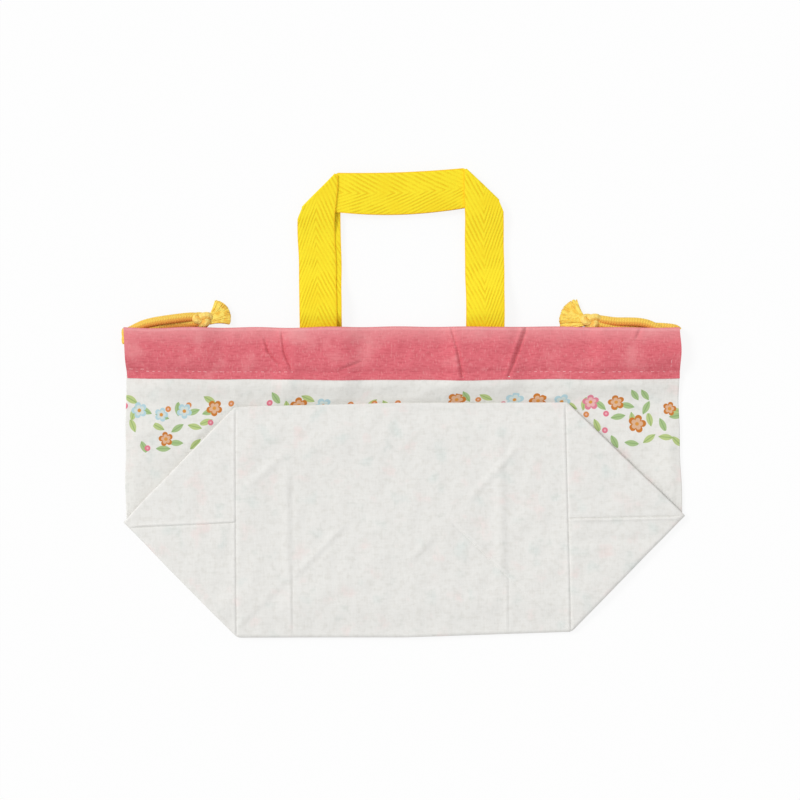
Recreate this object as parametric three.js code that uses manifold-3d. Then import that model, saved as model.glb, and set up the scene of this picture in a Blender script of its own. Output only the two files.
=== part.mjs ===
// A bento bag of printed cotton: a boxed bottom, a drawstring casing round the
// mouth, two webbing handles and two drawstrings. It lies flat on its back, with
// the boxed bottom folded up over its front. Millimetres, +Z up: X runs across
// the bag and Y from the bottom fold towards the handles.
import * as THREE from "three";
import { mergeVertices } from "three/addons/utils/BufferGeometryUtils.js";
import Module from "manifold-3d";

// Bag body
const baseWidth = 165;
const baseDepth = 115;
// The walls reach this far past the base when it is folded up over them
const wallBeyondBase = 40;
const clothThickness = 0.5;
const layerGap = 0.3;
// Cloth stops this far from a fold line on each side of it
const foldGap = 0.2;
// Where the folded base ends, the front cloth starts to climb to its casing
const climbStart = 2;
const climbSteps = 8;

// Drawstring casing
const casingHeight = 25.5;
const casingSeam = 3;
const casingShoulder = 3;
const casingThickness = 2.4;
const casingWall = 0.4;
const casingRound = 0.7;
// Room between the two casings, for the straps and the tails
const mouthGap = 3.4;

// Webbing handles
const webbingWidth = 20;
const webbingThickness = 0.8;
const handleWidth = 103;
const handleReach = 78.5;
const handleShift = -2.5;
const tabDepth = 24;
const handleHinge = 8;

// Drawstrings
const cordWidth = 4.4;
const cordThickness = 1.4;
const cordSides = 8;
const strandSpacing = 4.8;
const tailRow = 6;
const crossingRow = 15;
const bendSteps = 6;
const bendLead = 0.5;
const bendBulge = 1.5;
const knotWidth = 10.4;
const knotDepth = 8;
const knotHeight = 5.4;
const tuftReach = 10.4;
const tuftThickness = 2.8;
const tuftArcShare = 0.95;
const tuftRoot = 1.8;
const tuftSteps = 8;
const seatGap = 0.3;

// Colours of the cloth, webbing and cord
const white = new THREE.MeshStandardMaterial({ color: 0xe7e6e1, roughness: 0.9, metalness: 0 });
const lining = new THREE.MeshStandardMaterial({ color: 0xe4e3de, roughness: 0.92, metalness: 0 });
const pink = new THREE.MeshStandardMaterial({ color: 0xd77077, roughness: 0.9, metalness: 0 });
const yellow = new THREE.MeshStandardMaterial({ color: 0xf6df31, roughness: 0.8, metalness: 0 });
const orange = new THREE.MeshStandardMaterial({ color: 0xe8ac57, roughness: 0.88, metalness: 0 });

// Places that follow from the sizes above
const halfBase = baseWidth / 2;
const halfDepth = baseDepth / 2;
const halfFlat = halfBase + halfDepth;
const wallHeight = baseDepth + wallBeyondBase;
const casingLow = wallHeight - casingHeight;
const layer = clothThickness + layerGap;
const backLevel = 0;
const frontLevel = backLevel + layer;
const lowerLevel = frontLevel + layer;
const cornerLevel = lowerLevel + layer;
const baseLevel = cornerLevel + layer;
const backCasingLevel = backLevel;
const frontCasingLevel = backCasingLevel + casingThickness + mouthGap;
const mouthMiddle = backCasingLevel + casingThickness + mouthGap / 2;
const handleTop = wallHeight + handleReach;
const hingeLine = wallHeight + handleHinge;
const innerEdge = halfBase - foldGap;
const outerEdge = halfBase + foldGap;
const middleOfLength = (foldGap + handleTop) / 2;

const wasm = await Module();
wasm.setup();

// A closed geometry as a solid that can be joined or cut
function solidOf(geometry) {
  const bare = geometry.clone();
  bare.deleteAttribute("normal");
  bare.deleteAttribute("uv");
  const merged = mergeVertices(bare);
  return new wasm.Manifold(
    new wasm.Mesh({
      numProp: 3,
      vertProperties: merged.attributes.position.array,
      triVerts: new Uint32Array(merged.index.array),
    }),
  );
}

// A solid back as a geometry
function geometryOf(solid) {
  const mesh = solid.getMesh();
  const geometry = new THREE.BufferGeometry();
  geometry.setAttribute("position", new THREE.BufferAttribute(mesh.vertProperties, 3));
  geometry.setIndex(new THREE.BufferAttribute(mesh.triVerts, 1));
  geometry.computeVertexNormals();
  return geometry;
}

function piece(name, geometry, material, place = [0, 0, 0]) {
  const mesh = new THREE.Mesh(geometry, material);
  mesh.name = name;
  mesh.position.set(...place);
  return mesh;
}

function group(...members) {
  const made = new THREE.Group();
  made.add(...members);
  return made;
}

// A closed outline of [x, y] points
function outline(points) {
  return new THREE.Shape(points.map(([x, y]) => new THREE.Vector2(x, y)));
}

// A flat sheet in the XY plane with its underside at zero
function sheet(points, thickness) {
  return new THREE.ExtrudeGeometry(outline(points), { depth: thickness, bevelEnabled: false });
}

// The same outline mirrored to the other side of the bag when side is 1
function onSide(side, points) {
  const moved = points.map(([x, y]) => [-side * x, y]);
  return side > 0 ? moved.reverse() : moved;
}

// A section in the YZ plane drawn out along X, from one x to another
const acrossTheBag = new THREE.Matrix4().makeBasis(
  new THREE.Vector3(0, 1, 0),
  new THREE.Vector3(0, 0, 1),
  new THREE.Vector3(1, 0, 0),
);
function across(shape, fromX, toX) {
  const long = new THREE.ExtrudeGeometry(shape, { depth: toX - fromX, bevelEnabled: false });
  return long.applyMatrix4(acrossTheBag).translate(fromX, 0, 0);
}

// The x range of a side wing, in order
function wingRange(side) {
  return side < 0 ? [-halfFlat, -outerEdge] : [outerEdge, halfFlat];
}

// Body cloth
function backPanel() {
  const top = casingLow - layerGap;
  const points = [[-innerEdge, foldGap], [innerEdge, foldGap], [innerEdge, top], [-innerEdge, top]];
  return piece("back_panel", sheet(points, clothThickness), white, [0, 0, backLevel]);
}

function backWing(name, side) {
  const top = casingLow - layerGap;
  const points = onSide(side, [
    [-halfFlat, halfDepth],
    [-outerEdge, foldGap],
    [-outerEdge, top],
    [-halfFlat, top],
  ]);
  return piece("back_side_panel_" + name, sheet(points, clothThickness), white, [0, 0, backLevel]);
}

// The front cloth's section: flat under the folded base, then up to its casing
function frontSection() {
  const start = baseDepth + climbStart;
  const end = casingLow - layerGap;
  const rise = frontCasingLevel - frontLevel;
  const under = [[halfDepth + foldGap, 0]];
  for (let i = 0; i <= climbSteps; i += 1) {
    const share = i / climbSteps;
    under.push([start + (end - start) * share, rise * THREE.MathUtils.smoothstep(share, 0, 1)]);
  }
  const over = under.map(([y, z]) => [y, z + clothThickness]).reverse();
  return outline([...under, ...over]);
}

function frontPanel() {
  return piece("front_panel", across(frontSection(), -innerEdge, innerEdge), white, [0, 0, frontLevel]);
}

function frontWing(name, side) {
  const cloth = across(frontSection(), ...wingRange(side));
  return piece("front_side_panel_" + name, cloth, white, [0, 0, frontLevel]);
}

// The lower half of the front wall, folded up under the base
function frontLowerPanel() {
  const low = halfDepth + foldGap;
  const high = baseDepth - foldGap;
  const points = [[-innerEdge, low], [innerEdge, low], [innerEdge, high], [-innerEdge, high]];
  return piece("front_lower_panel", sheet(points, clothThickness), white, [0, 0, lowerLevel]);
}

function frontLowerWing(name, side) {
  const points = onSide(side, [
    [-halfFlat + layerGap, halfDepth + foldGap],
    [-outerEdge, halfDepth + foldGap],
    [-outerEdge, baseDepth - foldGap],
  ]);
  return piece("front_lower_side_" + name, sheet(points, clothThickness), white, [0, 0, lowerLevel]);
}

function basePanel() {
  const high = baseDepth - foldGap;
  const points = [[-innerEdge, foldGap], [innerEdge, foldGap], [innerEdge, high], [-innerEdge, high]];
  return piece("base_panel", sheet(points, clothThickness), white, [0, 0, baseLevel]);
}

// The folded corner of the boxed bottom, outside the base's long edge
function baseSide(name, side) {
  const points = onSide(side, [
    [-halfFlat, halfDepth],
    [-outerEdge, foldGap],
    [-outerEdge, baseDepth - foldGap],
  ]);
  return piece("base_side_" + name, sheet(points, clothThickness), white, [0, 0, baseLevel]);
}

// The spare corner of cloth that lies inside the bag against the base
function cornerFlap(name, side) {
  const inset = layerGap + foldGap;
  const points = onSide(side, [
    [-innerEdge + inset, inset],
    [-innerEdge + inset + halfDepth - inset, halfDepth],
    [-innerEdge + inset, baseDepth - inset],
  ]);
  return piece("corner_flap_" + name, sheet(points, clothThickness), lining, [0, 0, cornerLevel]);
}

// The casing: a flat seam along its lower edge, then a tunnel for the cords
function casingSection() {
  const seam = 2 * clothThickness;
  const top = wallHeight;
  const shoulder = casingLow + casingSeam + casingShoulder;
  const shape = outline([
    [casingLow, 0],
    [top - casingRound, 0],
    [top, casingRound],
    [top, casingThickness - casingRound],
    [top - casingRound, casingThickness],
    [shoulder, casingThickness],
    [casingLow + casingSeam, seam],
    [casingLow, seam],
  ]);
  const low = casingLow + casingSeam + casingWall;
  shape.holes.push(
    new THREE.Path(
      [
        [low, casingWall],
        [shoulder + casingWall, casingThickness - casingWall],
        [top - casingRound, casingThickness - casingWall],
        [top - casingWall, casingThickness - casingRound],
        [top - casingWall, casingRound],
        [top - casingRound, casingWall],
      ].map(([y, z]) => new THREE.Vector2(y, z)),
    ),
  );
  return shape;
}

function casing(name, range, level) {
  return piece(name, across(casingSection(), ...range), pink, [0, 0, level]);
}

// Webbing: a tab sewn inside the mouth for each leg, and the handle itself
const legStarts = [handleShift - handleWidth / 2, handleShift + handleWidth / 2 - webbingWidth];
const legNames = ["left", "right"];

function strapTab(wall, index, level) {
  const low = wallHeight - tabDepth;
  const high = hingeLine - layerGap / 2;
  const fromX = legStarts[index];
  const toX = fromX + webbingWidth;
  const points = [[fromX, low], [toX, low], [toX, high], [fromX, high]];
  const cloth = sheet(points, webbingThickness);
  return piece(wall + "_strap_tab_" + legNames[index], cloth, yellow, [0, 0, level]);
}

// The strap turns its two corners with a mitre fold, so it is double there
function handle(name, level) {
  const low = hingeLine + layerGap / 2;
  const under = handleTop - webbingWidth;
  const left = legStarts[0];
  const right = legStarts[1] + webbingWidth;
  const bar = [
    [left, under],
    [right, under],
    [right - webbingWidth, handleTop],
    [left + webbingWidth, handleTop],
  ];
  const leftLeg = [
    [left, low],
    [left + webbingWidth, low],
    [left + webbingWidth, handleTop],
    [left, under],
  ];
  const rightLeg = [
    [right - webbingWidth, low],
    [right, low],
    [right, under],
    [right - webbingWidth, handleTop],
  ];
  const leftFold = [[left, under], [left + webbingWidth, under], [left + webbingWidth, handleTop]];
  const rightFold = [[right - webbingWidth, under], [right, under], [right - webbingWidth, handleTop]];
  let solid = solidOf(sheet(bar, webbingThickness));
  for (const fold of [leftFold, rightFold]) {
    solid = solid.add(solidOf(sheet(fold, 2 * webbingThickness)));
  }
  for (const leg of [leftLeg, rightLeg]) {
    solid = solid.add(solidOf(sheet(leg, webbingThickness).translate(0, 0, webbingThickness)));
  }
  return piece(name, geometryOf(solid), yellow, [0, 0, level - webbingThickness]);
}

// Drawstring: a soft cord that is pressed flat, drawn along a run of points. The
// section's first size lies across the plane that the run bends in least.
function cordAlong(points, steps, [first, second] = [cordThickness, cordWidth]) {
  const section = [];
  for (let i = 0; i < cordSides; i += 1) {
    const angle = (2 * Math.PI * (i + 1 / 2)) / cordSides;
    section.push([(first / 2) * Math.cos(angle), (second / 2) * Math.sin(angle)]);
  }
  const path = new THREE.CatmullRomCurve3(points.map((p) => new THREE.Vector3(...p)), false, "centripetal");
  return new THREE.ExtrudeGeometry(outline(section), { extrudePath: path, steps, bevelEnabled: false });
}

function innerCord(name, range, row, level) {
  const middle = level + casingThickness / 2;
  const y = wallHeight - row;
  const points = [[range[0], y, middle], [range[1], y, middle]];
  return piece(name, cordAlong(points, 1), orange);
}

// A turn of the cord round the open end of the casings, from one level to another
function cordBend(name, side, row, fromLevel, toLevel, bulge) {
  const y = wallHeight - row;
  const middle = (fromLevel + toLevel) / 2;
  const half = (toLevel - fromLevel) / 2;
  const start = halfFlat + seatGap;
  const points = [[side * start, y, fromLevel]];
  for (let i = 0; i <= bendSteps; i += 1) {
    const angle = Math.PI * (i / bendSteps - 1 / 2);
    points.push([side * (start + bendLead + bulge * Math.cos(angle)), y, middle + half * Math.sin(angle)]);
  }
  points.push([side * start, y, toLevel]);
  return piece(name, cordAlong(points, 2 * bendSteps, [cordWidth, cordThickness]), orange);
}

// Routes of the four free strands, from the casing's end to the knot
const leftUpperRoute = [
  [-139.7, 151.4, 4.1], [-136, 152, 4.1], [-131, 153.9, 4.1], [-126, 156, 4],
  [-121, 157.9, 3.8], [-116, 159.3, 3.5], [-111, 160.1, 3.3], [-107, 160.2, 3.2],
];
const leftLowerRoute = [
  [-139.7, 146.6, 4.1], [-136, 147, 4.1], [-131, 148.7, 4.1], [-126, 150.9, 4.1],
  [-121, 153.1, 4.1], [-116, 154.6, 4.1], [-111, 155.4, 4], [-107, 155.5, 3.9],
];
// The right pair cross: the strand from the lower row passes over the other one
const rightUpperRoute = [
  [139.7, 151.4, 4.1], [136.5, 152.3, 4.1], [132.5, 153.9, 3.9], [128, 154.7, 3.5],
  [123, 155, 3.3], [117, 155, 3.3], [111, 154.8, 3.3], [105, 154.7, 3.4], [99, 155, 3.6],
];
const rightLowerRoute = [
  [139.7, 146.6, 4.1], [136.5, 147, 4.1], [132, 149.2, 4.4], [127, 152.6, 4.8],
  [122, 155.9, 4.9], [117, 157.4, 4.9], [112, 158.1, 4.6], [105, 159.1, 4], [99, 159.7, 3.6],
];
const strandSteps = 14;
const knotLevel = 2.8;
const leftKnot = [-101.6, 159.4, knotLevel];
const rightKnot = [93.4, 159.4, knotLevel];

function strand(name, route) {
  return piece(name, cordAlong(route, strandSteps), orange);
}

function knot(name, place) {
  const ball = new THREE.SphereGeometry(1 / 2, 12, 8).scale(knotWidth, knotDepth, knotHeight);
  return piece(name, ball, orange, place);
}

// The frayed end beyond the knot spreads in a fan towards the handles
function tuft(name, side, place) {
  const start = knotWidth / 2 + seatGap;
  const points = [[start, -tuftRoot]];
  for (let i = 0; i <= tuftSteps; i += 1) {
    const angle = (Math.PI / 2) * tuftArcShare * (i / tuftSteps) - Math.atan2(tuftRoot, tuftReach);
    points.push([start + tuftReach * Math.cos(angle), tuftReach * Math.sin(angle)]);
  }
  points.push([start, tuftRoot]);
  const fan = sheet(side < 0 ? points : points.map(([x, y]) => [-x, y]).reverse(), tuftThickness);
  const level = place[2] - tuftThickness / 2;
  return piece(name, fan, yellow, [place[0], place[1], level]);
}

// The two strands that run side by side through a casing
function innerCords(wall, range, level, suffix) {
  const sign = level > backCasingLevel ? 1 : -1;
  return [
    innerCord(wall + "_cord_upper" + suffix, range, tailRow + (sign * strandSpacing) / 2, level),
    innerCord(wall + "_cord_lower" + suffix, range, crossingRow, level),
  ];
}

const sides = [["left", -1], ["right", 1]];
const centre = [-innerEdge, innerEdge];
const tabLevels = {
  back: backCasingLevel + casingThickness + layerGap,
  front: frontCasingLevel - layerGap - webbingThickness,
};
const cordGap = layerGap / 2;

function cordRange([fromX, toX]) {
  return [fromX + cordGap, toX - cordGap];
}

function wall(name, panel, level) {
  const tabs = [0, 1].map((index) => strapTab(name, index, tabLevels[name]));
  return group(
    panel,
    casing(name + "_casing", centre, level),
    ...innerCords(name, cordRange(centre), level, ""),
    ...tabs,
  );
}

function wallSide(name, panel, level, sideName, side) {
  const range = wingRange(side);
  return group(
    panel,
    casing(name + "_side_casing_" + sideName, range, level),
    ...innerCords(name + "_side", cordRange(range), level, "_" + sideName),
  );
}

function bends(sideName, side) {
  const backCord = backCasingLevel + casingThickness / 2;
  const frontCord = frontCasingLevel + casingThickness / 2;
  const upperRow = tailRow - strandSpacing / 2;
  const lowerRow = tailRow + strandSpacing / 2;
  return group(
    cordBend("cord_bend_upper_" + sideName, side, upperRow, backCord, mouthMiddle, bendBulge),
    cordBend("cord_bend_lower_" + sideName, side, lowerRow, mouthMiddle, frontCord, bendBulge),
    cordBend("cord_crossing_" + sideName, side, crossingRow, backCord, frontCord, bendBulge),
  );
}

function tail(sideName, side, upper, lower, place) {
  return group(
    strand("cord_tail_upper_" + sideName, upper),
    strand("cord_tail_lower_" + sideName, lower),
    knot("cord_knot_" + sideName, place),
    tuft("cord_tuft_" + sideName, side, place),
  );
}

const bag = new THREE.Group();
bag.add(wall("back", backPanel(), backCasingLevel));
bag.add(wall("front", frontPanel(), frontCasingLevel));
for (const [sideName, side] of sides) {
  bag.add(wallSide("back", backWing(sideName, side), backCasingLevel, sideName, side));
  bag.add(wallSide("front", frontWing(sideName, side), frontCasingLevel, sideName, side));
  bag.add(bends(sideName, side));
  bag.add(group(frontLowerWing(sideName, side), baseSide(sideName, side), cornerFlap(sideName, side)));
}
bag.add(group(frontLowerPanel(), basePanel()));
bag.add(handle("back_handle", tabLevels.back), handle("front_handle", tabLevels.front));
bag.add(tail("left", -1, leftUpperRoute, leftLowerRoute, leftKnot));
bag.add(tail("right", 1, rightUpperRoute, rightLowerRoute, rightKnot));
bag.position.set(0, -middleOfLength, 0);

export default bag;
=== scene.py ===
"""A cotton drawstring lunch bag, lying flat with its boxed bottom folded up over its front.

Patterns are drawn in millimetres on the bag's own plane, where X runs across the bag and Y from the bottom
fold towards the handles, and are turned to metres in the row frame when they are written to a mesh.
"""
import logging  # noqa: E402
import math  # noqa: E402
from collections.abc import Callable, Iterator, Sequence  # noqa: E402
from contextlib import contextmanager  # noqa: E402
from dataclasses import dataclass  # noqa: E402
from enum import Enum  # noqa: E402

import bpy  # noqa: E402
import numpy as np  # noqa: E402
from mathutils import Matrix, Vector  # noqa: E402


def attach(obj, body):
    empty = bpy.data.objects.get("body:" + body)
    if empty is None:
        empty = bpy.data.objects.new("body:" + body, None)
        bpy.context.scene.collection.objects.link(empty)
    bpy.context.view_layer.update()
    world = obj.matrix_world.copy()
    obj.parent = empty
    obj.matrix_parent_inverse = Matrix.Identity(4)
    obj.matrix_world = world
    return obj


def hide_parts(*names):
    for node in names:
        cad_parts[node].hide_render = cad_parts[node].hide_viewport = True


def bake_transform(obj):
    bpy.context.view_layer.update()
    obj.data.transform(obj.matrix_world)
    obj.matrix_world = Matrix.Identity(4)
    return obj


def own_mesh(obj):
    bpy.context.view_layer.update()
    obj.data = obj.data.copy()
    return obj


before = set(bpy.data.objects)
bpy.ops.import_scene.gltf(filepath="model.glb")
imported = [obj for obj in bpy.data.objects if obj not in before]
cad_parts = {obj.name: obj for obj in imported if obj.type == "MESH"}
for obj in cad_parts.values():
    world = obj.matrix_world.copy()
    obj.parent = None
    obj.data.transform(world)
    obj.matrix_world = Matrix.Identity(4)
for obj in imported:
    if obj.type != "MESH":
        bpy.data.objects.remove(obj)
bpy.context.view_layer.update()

LOG = logging.getLogger("bento_bag")
MM = 0.001
FULL_TURN = 2 * math.pi
# The bottom fold lies this far below the row frame's origin, in millimetres
FOLD_Y = -116.85

# Half the base's width and depth, and half the flat bag's width
HALF_BASE = 82.5
HALF_DEPTH = 57.5
DEPTH = 2 * HALF_DEPTH
HALF_FLAT = HALF_BASE + HALF_DEPTH
# The lower edge of the casing and the mouth
BAND_Y = 129.5
MOUTH_Y = 155.0
# Half the strip across a side crease in which the cloth turns
CREASE_HALF = 2.0
# The widest half width of a crease that the grid is cut along, and where its cuts lie in half widths
SHARP = 0.9
SHARP_CUTS = (-1.5, -0.75, 0, 0.75, 1.5, 2.4, 3.6)
# The length round a cord on its pattern
CORD_GIRTH = 10.0
# The sheeting's thickness
SHEETING = 0.4
# How far the cloth on each side of the middle fold laps over it
LAP = 0.2
# How far the front casing lies above the back one
CASING_RISE = 5.8

Points = np.ndarray
Pair = tuple[float, float]
Triple = tuple[float, float, float]
Piece = bpy.types.Object
Material = bpy.types.Material
Shape = Callable[[Points, Points], Points]


class Layer(float, Enum):
    """The middle heights of the bag's pressed layers above the table, in millimetres."""

    BACK = 0.25
    FRONT = 1.05
    LOWER = 1.85
    CORNER = 2.65
    BASE = 3.45


# Half the distances between the layers that the folds below and above the base join
LOW_FOLD = (Layer.BASE - Layer.BACK) / 2
HIGH_FOLD = (Layer.BASE - Layer.LOWER) / 2


class Turn(Enum):
    """Which way cloth goes round a folded edge."""

    DOWN = -1
    UP = 1


class Wall(Enum):
    """The bag's walls, by the start of their bodies' names."""

    BACK = "back"
    FRONT = "front"


class Strand(Enum):
    """The two strands on each side."""

    UPPER = "upper"
    LOWER = "lower"


class Slot(Enum):
    """The record's material slots."""

    PRINTED = "printed_cotton"
    LINING = "cotton_lining"
    PINK = "pink_cotton"
    WEBBING = "webbing"
    CORD = "cord"
    TUFT = "tuft"


def ease(value: Points | float, start: float, end: float) -> Points:
    """Rise smoothly from 0 at start to 1 at end, which may be below start."""
    t = np.clip((np.asarray(value, float) - start) / (end - start), 0, 1)
    return t * t * (3 - 2 * t)


def mound(value: Points, centre: float, half: float) -> Points:
    """A bell of height 1 at centre that is about gone at twice half."""
    return np.exp(-(((value - centre) / half) ** 2))


def row_frame(points: Points | Sequence) -> Points:
    """Millimetres on the bag's plane as metres in the row frame."""
    return (np.asarray(points, float) + (0, FOLD_Y, 0)) * MM


def lengths(line: Points) -> Points:
    """The length along a line at each of its points."""
    return np.concatenate([[0], np.cumsum(np.linalg.norm(np.diff(line, axis=0), axis=1))])


@dataclass(frozen=True)
class Waves:
    """A soft unevenness made of plane waves that run in many directions.

    Attributes:
        count: How many waves are added up.
        shortest: The shortest wavelength, in millimetres.
        longest: The longest wavelength, in millimetres.
        seed: The seed of the random directions.
    """

    count: int
    shortest: float
    longest: float
    seed: int

    def at(self, x: Points, y: Points) -> Points:
        """The unevenness, mostly between -1 and 1.

        Args:
            x: Places across the bag.
            y: Places along it.

        Returns:
            The unevenness at each place.
        """
        rng = np.random.default_rng(self.seed)
        total = np.zeros_like(x)
        for _ in range(self.count):
            angle, phase = rng.uniform(0, FULL_TURN, 2)
            length = rng.uniform(self.shortest, self.longest)
            along = (x * math.cos(angle) + y * math.sin(angle)) / length
            total += np.sin(FULL_TURN * along + phase)
        return total / math.sqrt(2 * self.count)


@dataclass(frozen=True)
class Crease:
    """A pressed line in the cloth: a groove with a low ridge beside it.

    Attributes:
        start: One end of the line, in millimetres.
        end: Its other end.
        depth: How far the groove goes down; a ridge has a negative depth.
        ridge: How high the cloth stands beside the groove, on the line's left.
        half: Half the groove's width.
        fade: How far from its ends the line fades out.
    """

    start: Pair
    end: Pair
    depth: float = 0.3
    ridge: float = 0.2
    half: float = 0.7
    fade: float = 6.0

    def at(self, x: Points, y: Points) -> Points:
        """The rise that the crease adds.

        Args:
            x: Places across the bag.
            y: Places along it.

        Returns:
            The rise at each place.
        """
        a, b = np.array(self.start), np.array(self.end)
        long = float(np.linalg.norm(b - a))
        way = (b - a) / long
        along = (x - a[0]) * way[0] + (y - a[1]) * way[1]
        aside = (y - a[1]) * way[0] - (x - a[0]) * way[1]
        fade = self.fade / 2
        shown = ease(along, -fade, fade) * ease(along, long + fade, long - fade)
        groove = -self.depth * mound(aside, 0, self.half)
        return shown * (groove + self.ridge * mound(aside, 2.2 * self.half, 1.4 * self.half))


class Lay:
    """How the pressed cloth lies: off its square pattern, and up from flat. Every layer shares it."""

    columns = np.array([-HALF_FLAT, -HALF_BASE, 0, HALF_BASE, HALF_FLAT])
    rows = np.array([0, HALF_DEPTH, DEPTH, BAND_Y, MOUTH_Y])
    # How far the cloth at each crossing of those lines lies off its place, in X and Y
    offsets = np.array(
        [
            [(1.6, -1.2), (-1.0, 1.4), (-0.4, 1.5), (0.0, 4.2), (-2.2, 5.2)],
            [(0.5, 0.4), (-1.8, 2.0), (-1.3, 2.2), (-0.8, 2.6), (-1.9, 3.6)],
            [(0.4, -1.0), (-2.5, -0.9), (-2.2, 1.2), (-2.0, 1.5), (-3.6, 2.2)],
            [(0.7, -0.1), (-0.4, -0.8), (-0.4, -1.0), (-0.4, -0.8), (-3.6, -0.4)],
            [(-0.8, -0.3), (-0.4, -0.2), (0.0, 0.1), (0.0, 0.2), (-4.4, -0.4)],
        ]
    )
    broad = Waves(9, 48, 120, 11)
    edges = Waves(7, 22, 60, 23)
    height = 0.9
    # The straps that hold the casings apart, by the middle and half width of each
    straps = ((-43.5, 12.5), (39.0, 12.0))
    sag = 2.0

    def beside(self, x: Points, y: Points) -> tuple[Points, Points]:
        """Where the pattern lies on the plane.

        Args:
            x: The pattern's places across the bag.
            y: Its places along it.

        Returns:
            Where each place lies, across and along.
        """
        i = np.clip(np.searchsorted(self.columns, x) - 1, 0, 3)
        j = np.clip(np.searchsorted(self.rows, y) - 1, 0, 3)
        s = ((x - self.columns[i]) / (self.columns[i + 1] - self.columns[i]))[:, None]
        t = ((y - self.rows[j]) / (self.rows[j + 1] - self.rows[j]))[:, None]
        low = self.offsets[j, i] * (1 - s) + self.offsets[j, i + 1] * s
        high = self.offsets[j + 1, i] * (1 - s) + self.offsets[j + 1, i + 1] * s
        moved = low * (1 - t) + high * t
        wander = 0.3 * self.edges.at(x, y)
        aside, up = wander * ease(np.abs(x), 100, 140), wander * ease(y, 110, 128)
        return x + moved[:, 0] + aside, y + moved[:, 1] + up

    def pattern(self, place: Sequence[float]) -> Points:
        """The place of the square pattern that lies at a place on the plane.

        Args:
            place: The place on the plane, as x and y.

        Returns:
            The pattern's x and y.
        """
        flat = np.array(place, float)
        for _ in range(6):
            x, y = self.beside(flat[:1], flat[1:])
            flat += np.array(place) - (x[0], y[0])
        return flat

    def straight(self, x: Points, y: Points) -> tuple[Points, Points]:
        """How far the hidden layers keep to the middle fold's straight, flat line, so that it opens closed.

        Args:
            x: The pattern's places across the bag.
            y: Its places along it.

        Returns:
            The shares of their sideways offset and of their swell that they give up, from 0 to 1.
        """
        off = np.abs(y - HALF_DEPTH)
        near = ease(off, 20, 3)
        inside = HALF_FLAT - np.abs(x)
        return near * ease(inside, 1, 6), near * ease(inside - off, 4, 16)

    def swell(self, x: Points, y: Points) -> Points:
        """How far all the layers rise from flat together; never below zero."""
        soft = 0.5 * self.height * (1 + np.clip(self.broad.at(x, y), -1, 1))
        return soft * (1 - 0.6 * ease(y, 124, 140))

    def held(self, x: Points, outer: float, inner: float) -> Points:
        """How much the straps hold the casing, from 0 to 1.

        Args:
            x: Places across the bag.
            outer: How far outside a strap's edge the hold begins.
            inner: How far outside it the hold is full.

        Returns:
            The hold at each place.
        """
        total = np.zeros_like(x)
        for middle, half in self.straps:
            total = np.maximum(total, ease(np.abs(x - middle), half + outer, half + inner))
        return total

    def sink(self, x: Points, y: Points) -> Points:
        """How far the front casing and the cloth at it lie below the height that the straps keep.

        Args:
            x: Places across the bag.
            y: Places along it.

        Returns:
            The depth at each place.
        """
        ends = ease(np.abs(x), 90, 102)
        open_end = self.sag * (1 - self.held(x, 11, 0)) * (1 - ends * ease(y, 130, 142))
        return open_end + 2.2 * ease(np.abs(x), 118, 139) * (1 - ease(y, 130, 143))


LAY = Lay()


def deselect() -> None:
    """Leave nothing selected."""
    bpy.ops.object.select_all(action="DESELECT")


def activate(piece: Piece) -> None:
    """Make one object the only selected one, and the active one.

    Args:
        piece: The object.
    """
    deselect()
    piece.select_set(True)
    bpy.context.view_layer.objects.active = piece


@contextmanager
def editing(piece: Piece) -> Iterator[None]:
    """Edit a piece with all of it selected.

    Args:
        piece: The piece.

    Returns:
        The span of the edit, for a with statement.
    """
    activate(piece)
    bpy.ops.object.mode_set(mode="EDIT")
    bpy.ops.mesh.select_all(action="SELECT")
    yield
    bpy.ops.object.mode_set(mode="OBJECT")


def read_points(piece: Piece) -> Points:
    """An object's points, as they are stored.

    Args:
        piece: The object.

    Returns:
        Rows of x, y and z.
    """
    flat = np.zeros(len(piece.data.vertices) * 3)
    piece.data.vertices.foreach_get("co", flat)
    return flat.reshape(-1, 3)


def write_points(piece: Piece, points: Points) -> None:
    """Store rows of x, y, z as an object's points."""
    piece.data.vertices.foreach_set("co", np.ascontiguousarray(points, float).ravel())
    piece.data.update()


def add_grid(name: str, low: Sequence[float], high: Sequence[float], cell: Pair) -> Piece:
    """Add a flat grid as a pattern piece, with coordinates in millimetres.

    Args:
        name: The piece's name.
        low: Its lowest x and y.
        high: Its highest x and y.
        cell: About how large a cell is, in x and y.

    Returns:
        The new object, with its place in its mesh.
    """
    wide, tall = high[0] - low[0], high[1] - low[1]
    deselect()
    bpy.ops.mesh.primitive_grid_add(
        x_subdivisions=max(1, round(wide / cell[0])),
        y_subdivisions=max(1, round(tall / cell[1])),
        size=1,
        location=(low[0] + wide / 2, low[1] + tall / 2, 0),
        scale=(wide, tall, 1),
    )
    piece = bpy.context.active_object
    bpy.ops.object.transform_apply(location=True, rotation=True, scale=True)
    points = read_points(piece)
    if abs(np.ptp(points[:, 0]) - wide) > 0.01 * wide:
        middle = points.mean(0)
        size = (wide / np.ptp(points[:, 0]), tall / np.ptp(points[:, 1]), 1)
        write_points(piece, (points - middle) * size + middle)
    piece.name = piece.data.name = name
    return piece


def score(piece: Piece, through: Sequence[float], normal: Sequence[float], trim: bool = False) -> None:
    """Cut a line of new edges across a flat pattern piece.

    Args:
        piece: The pattern piece.
        through: A point on the line.
        normal: The way square to the line.
        trim: Whether what lies beyond the line goes.
    """
    with editing(piece):
        bpy.ops.mesh.bisect(
            plane_co=(*through, 0), plane_no=(*normal, 0), use_fill=False, clear_outer=trim, threshold=0.00001
        )


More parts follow.
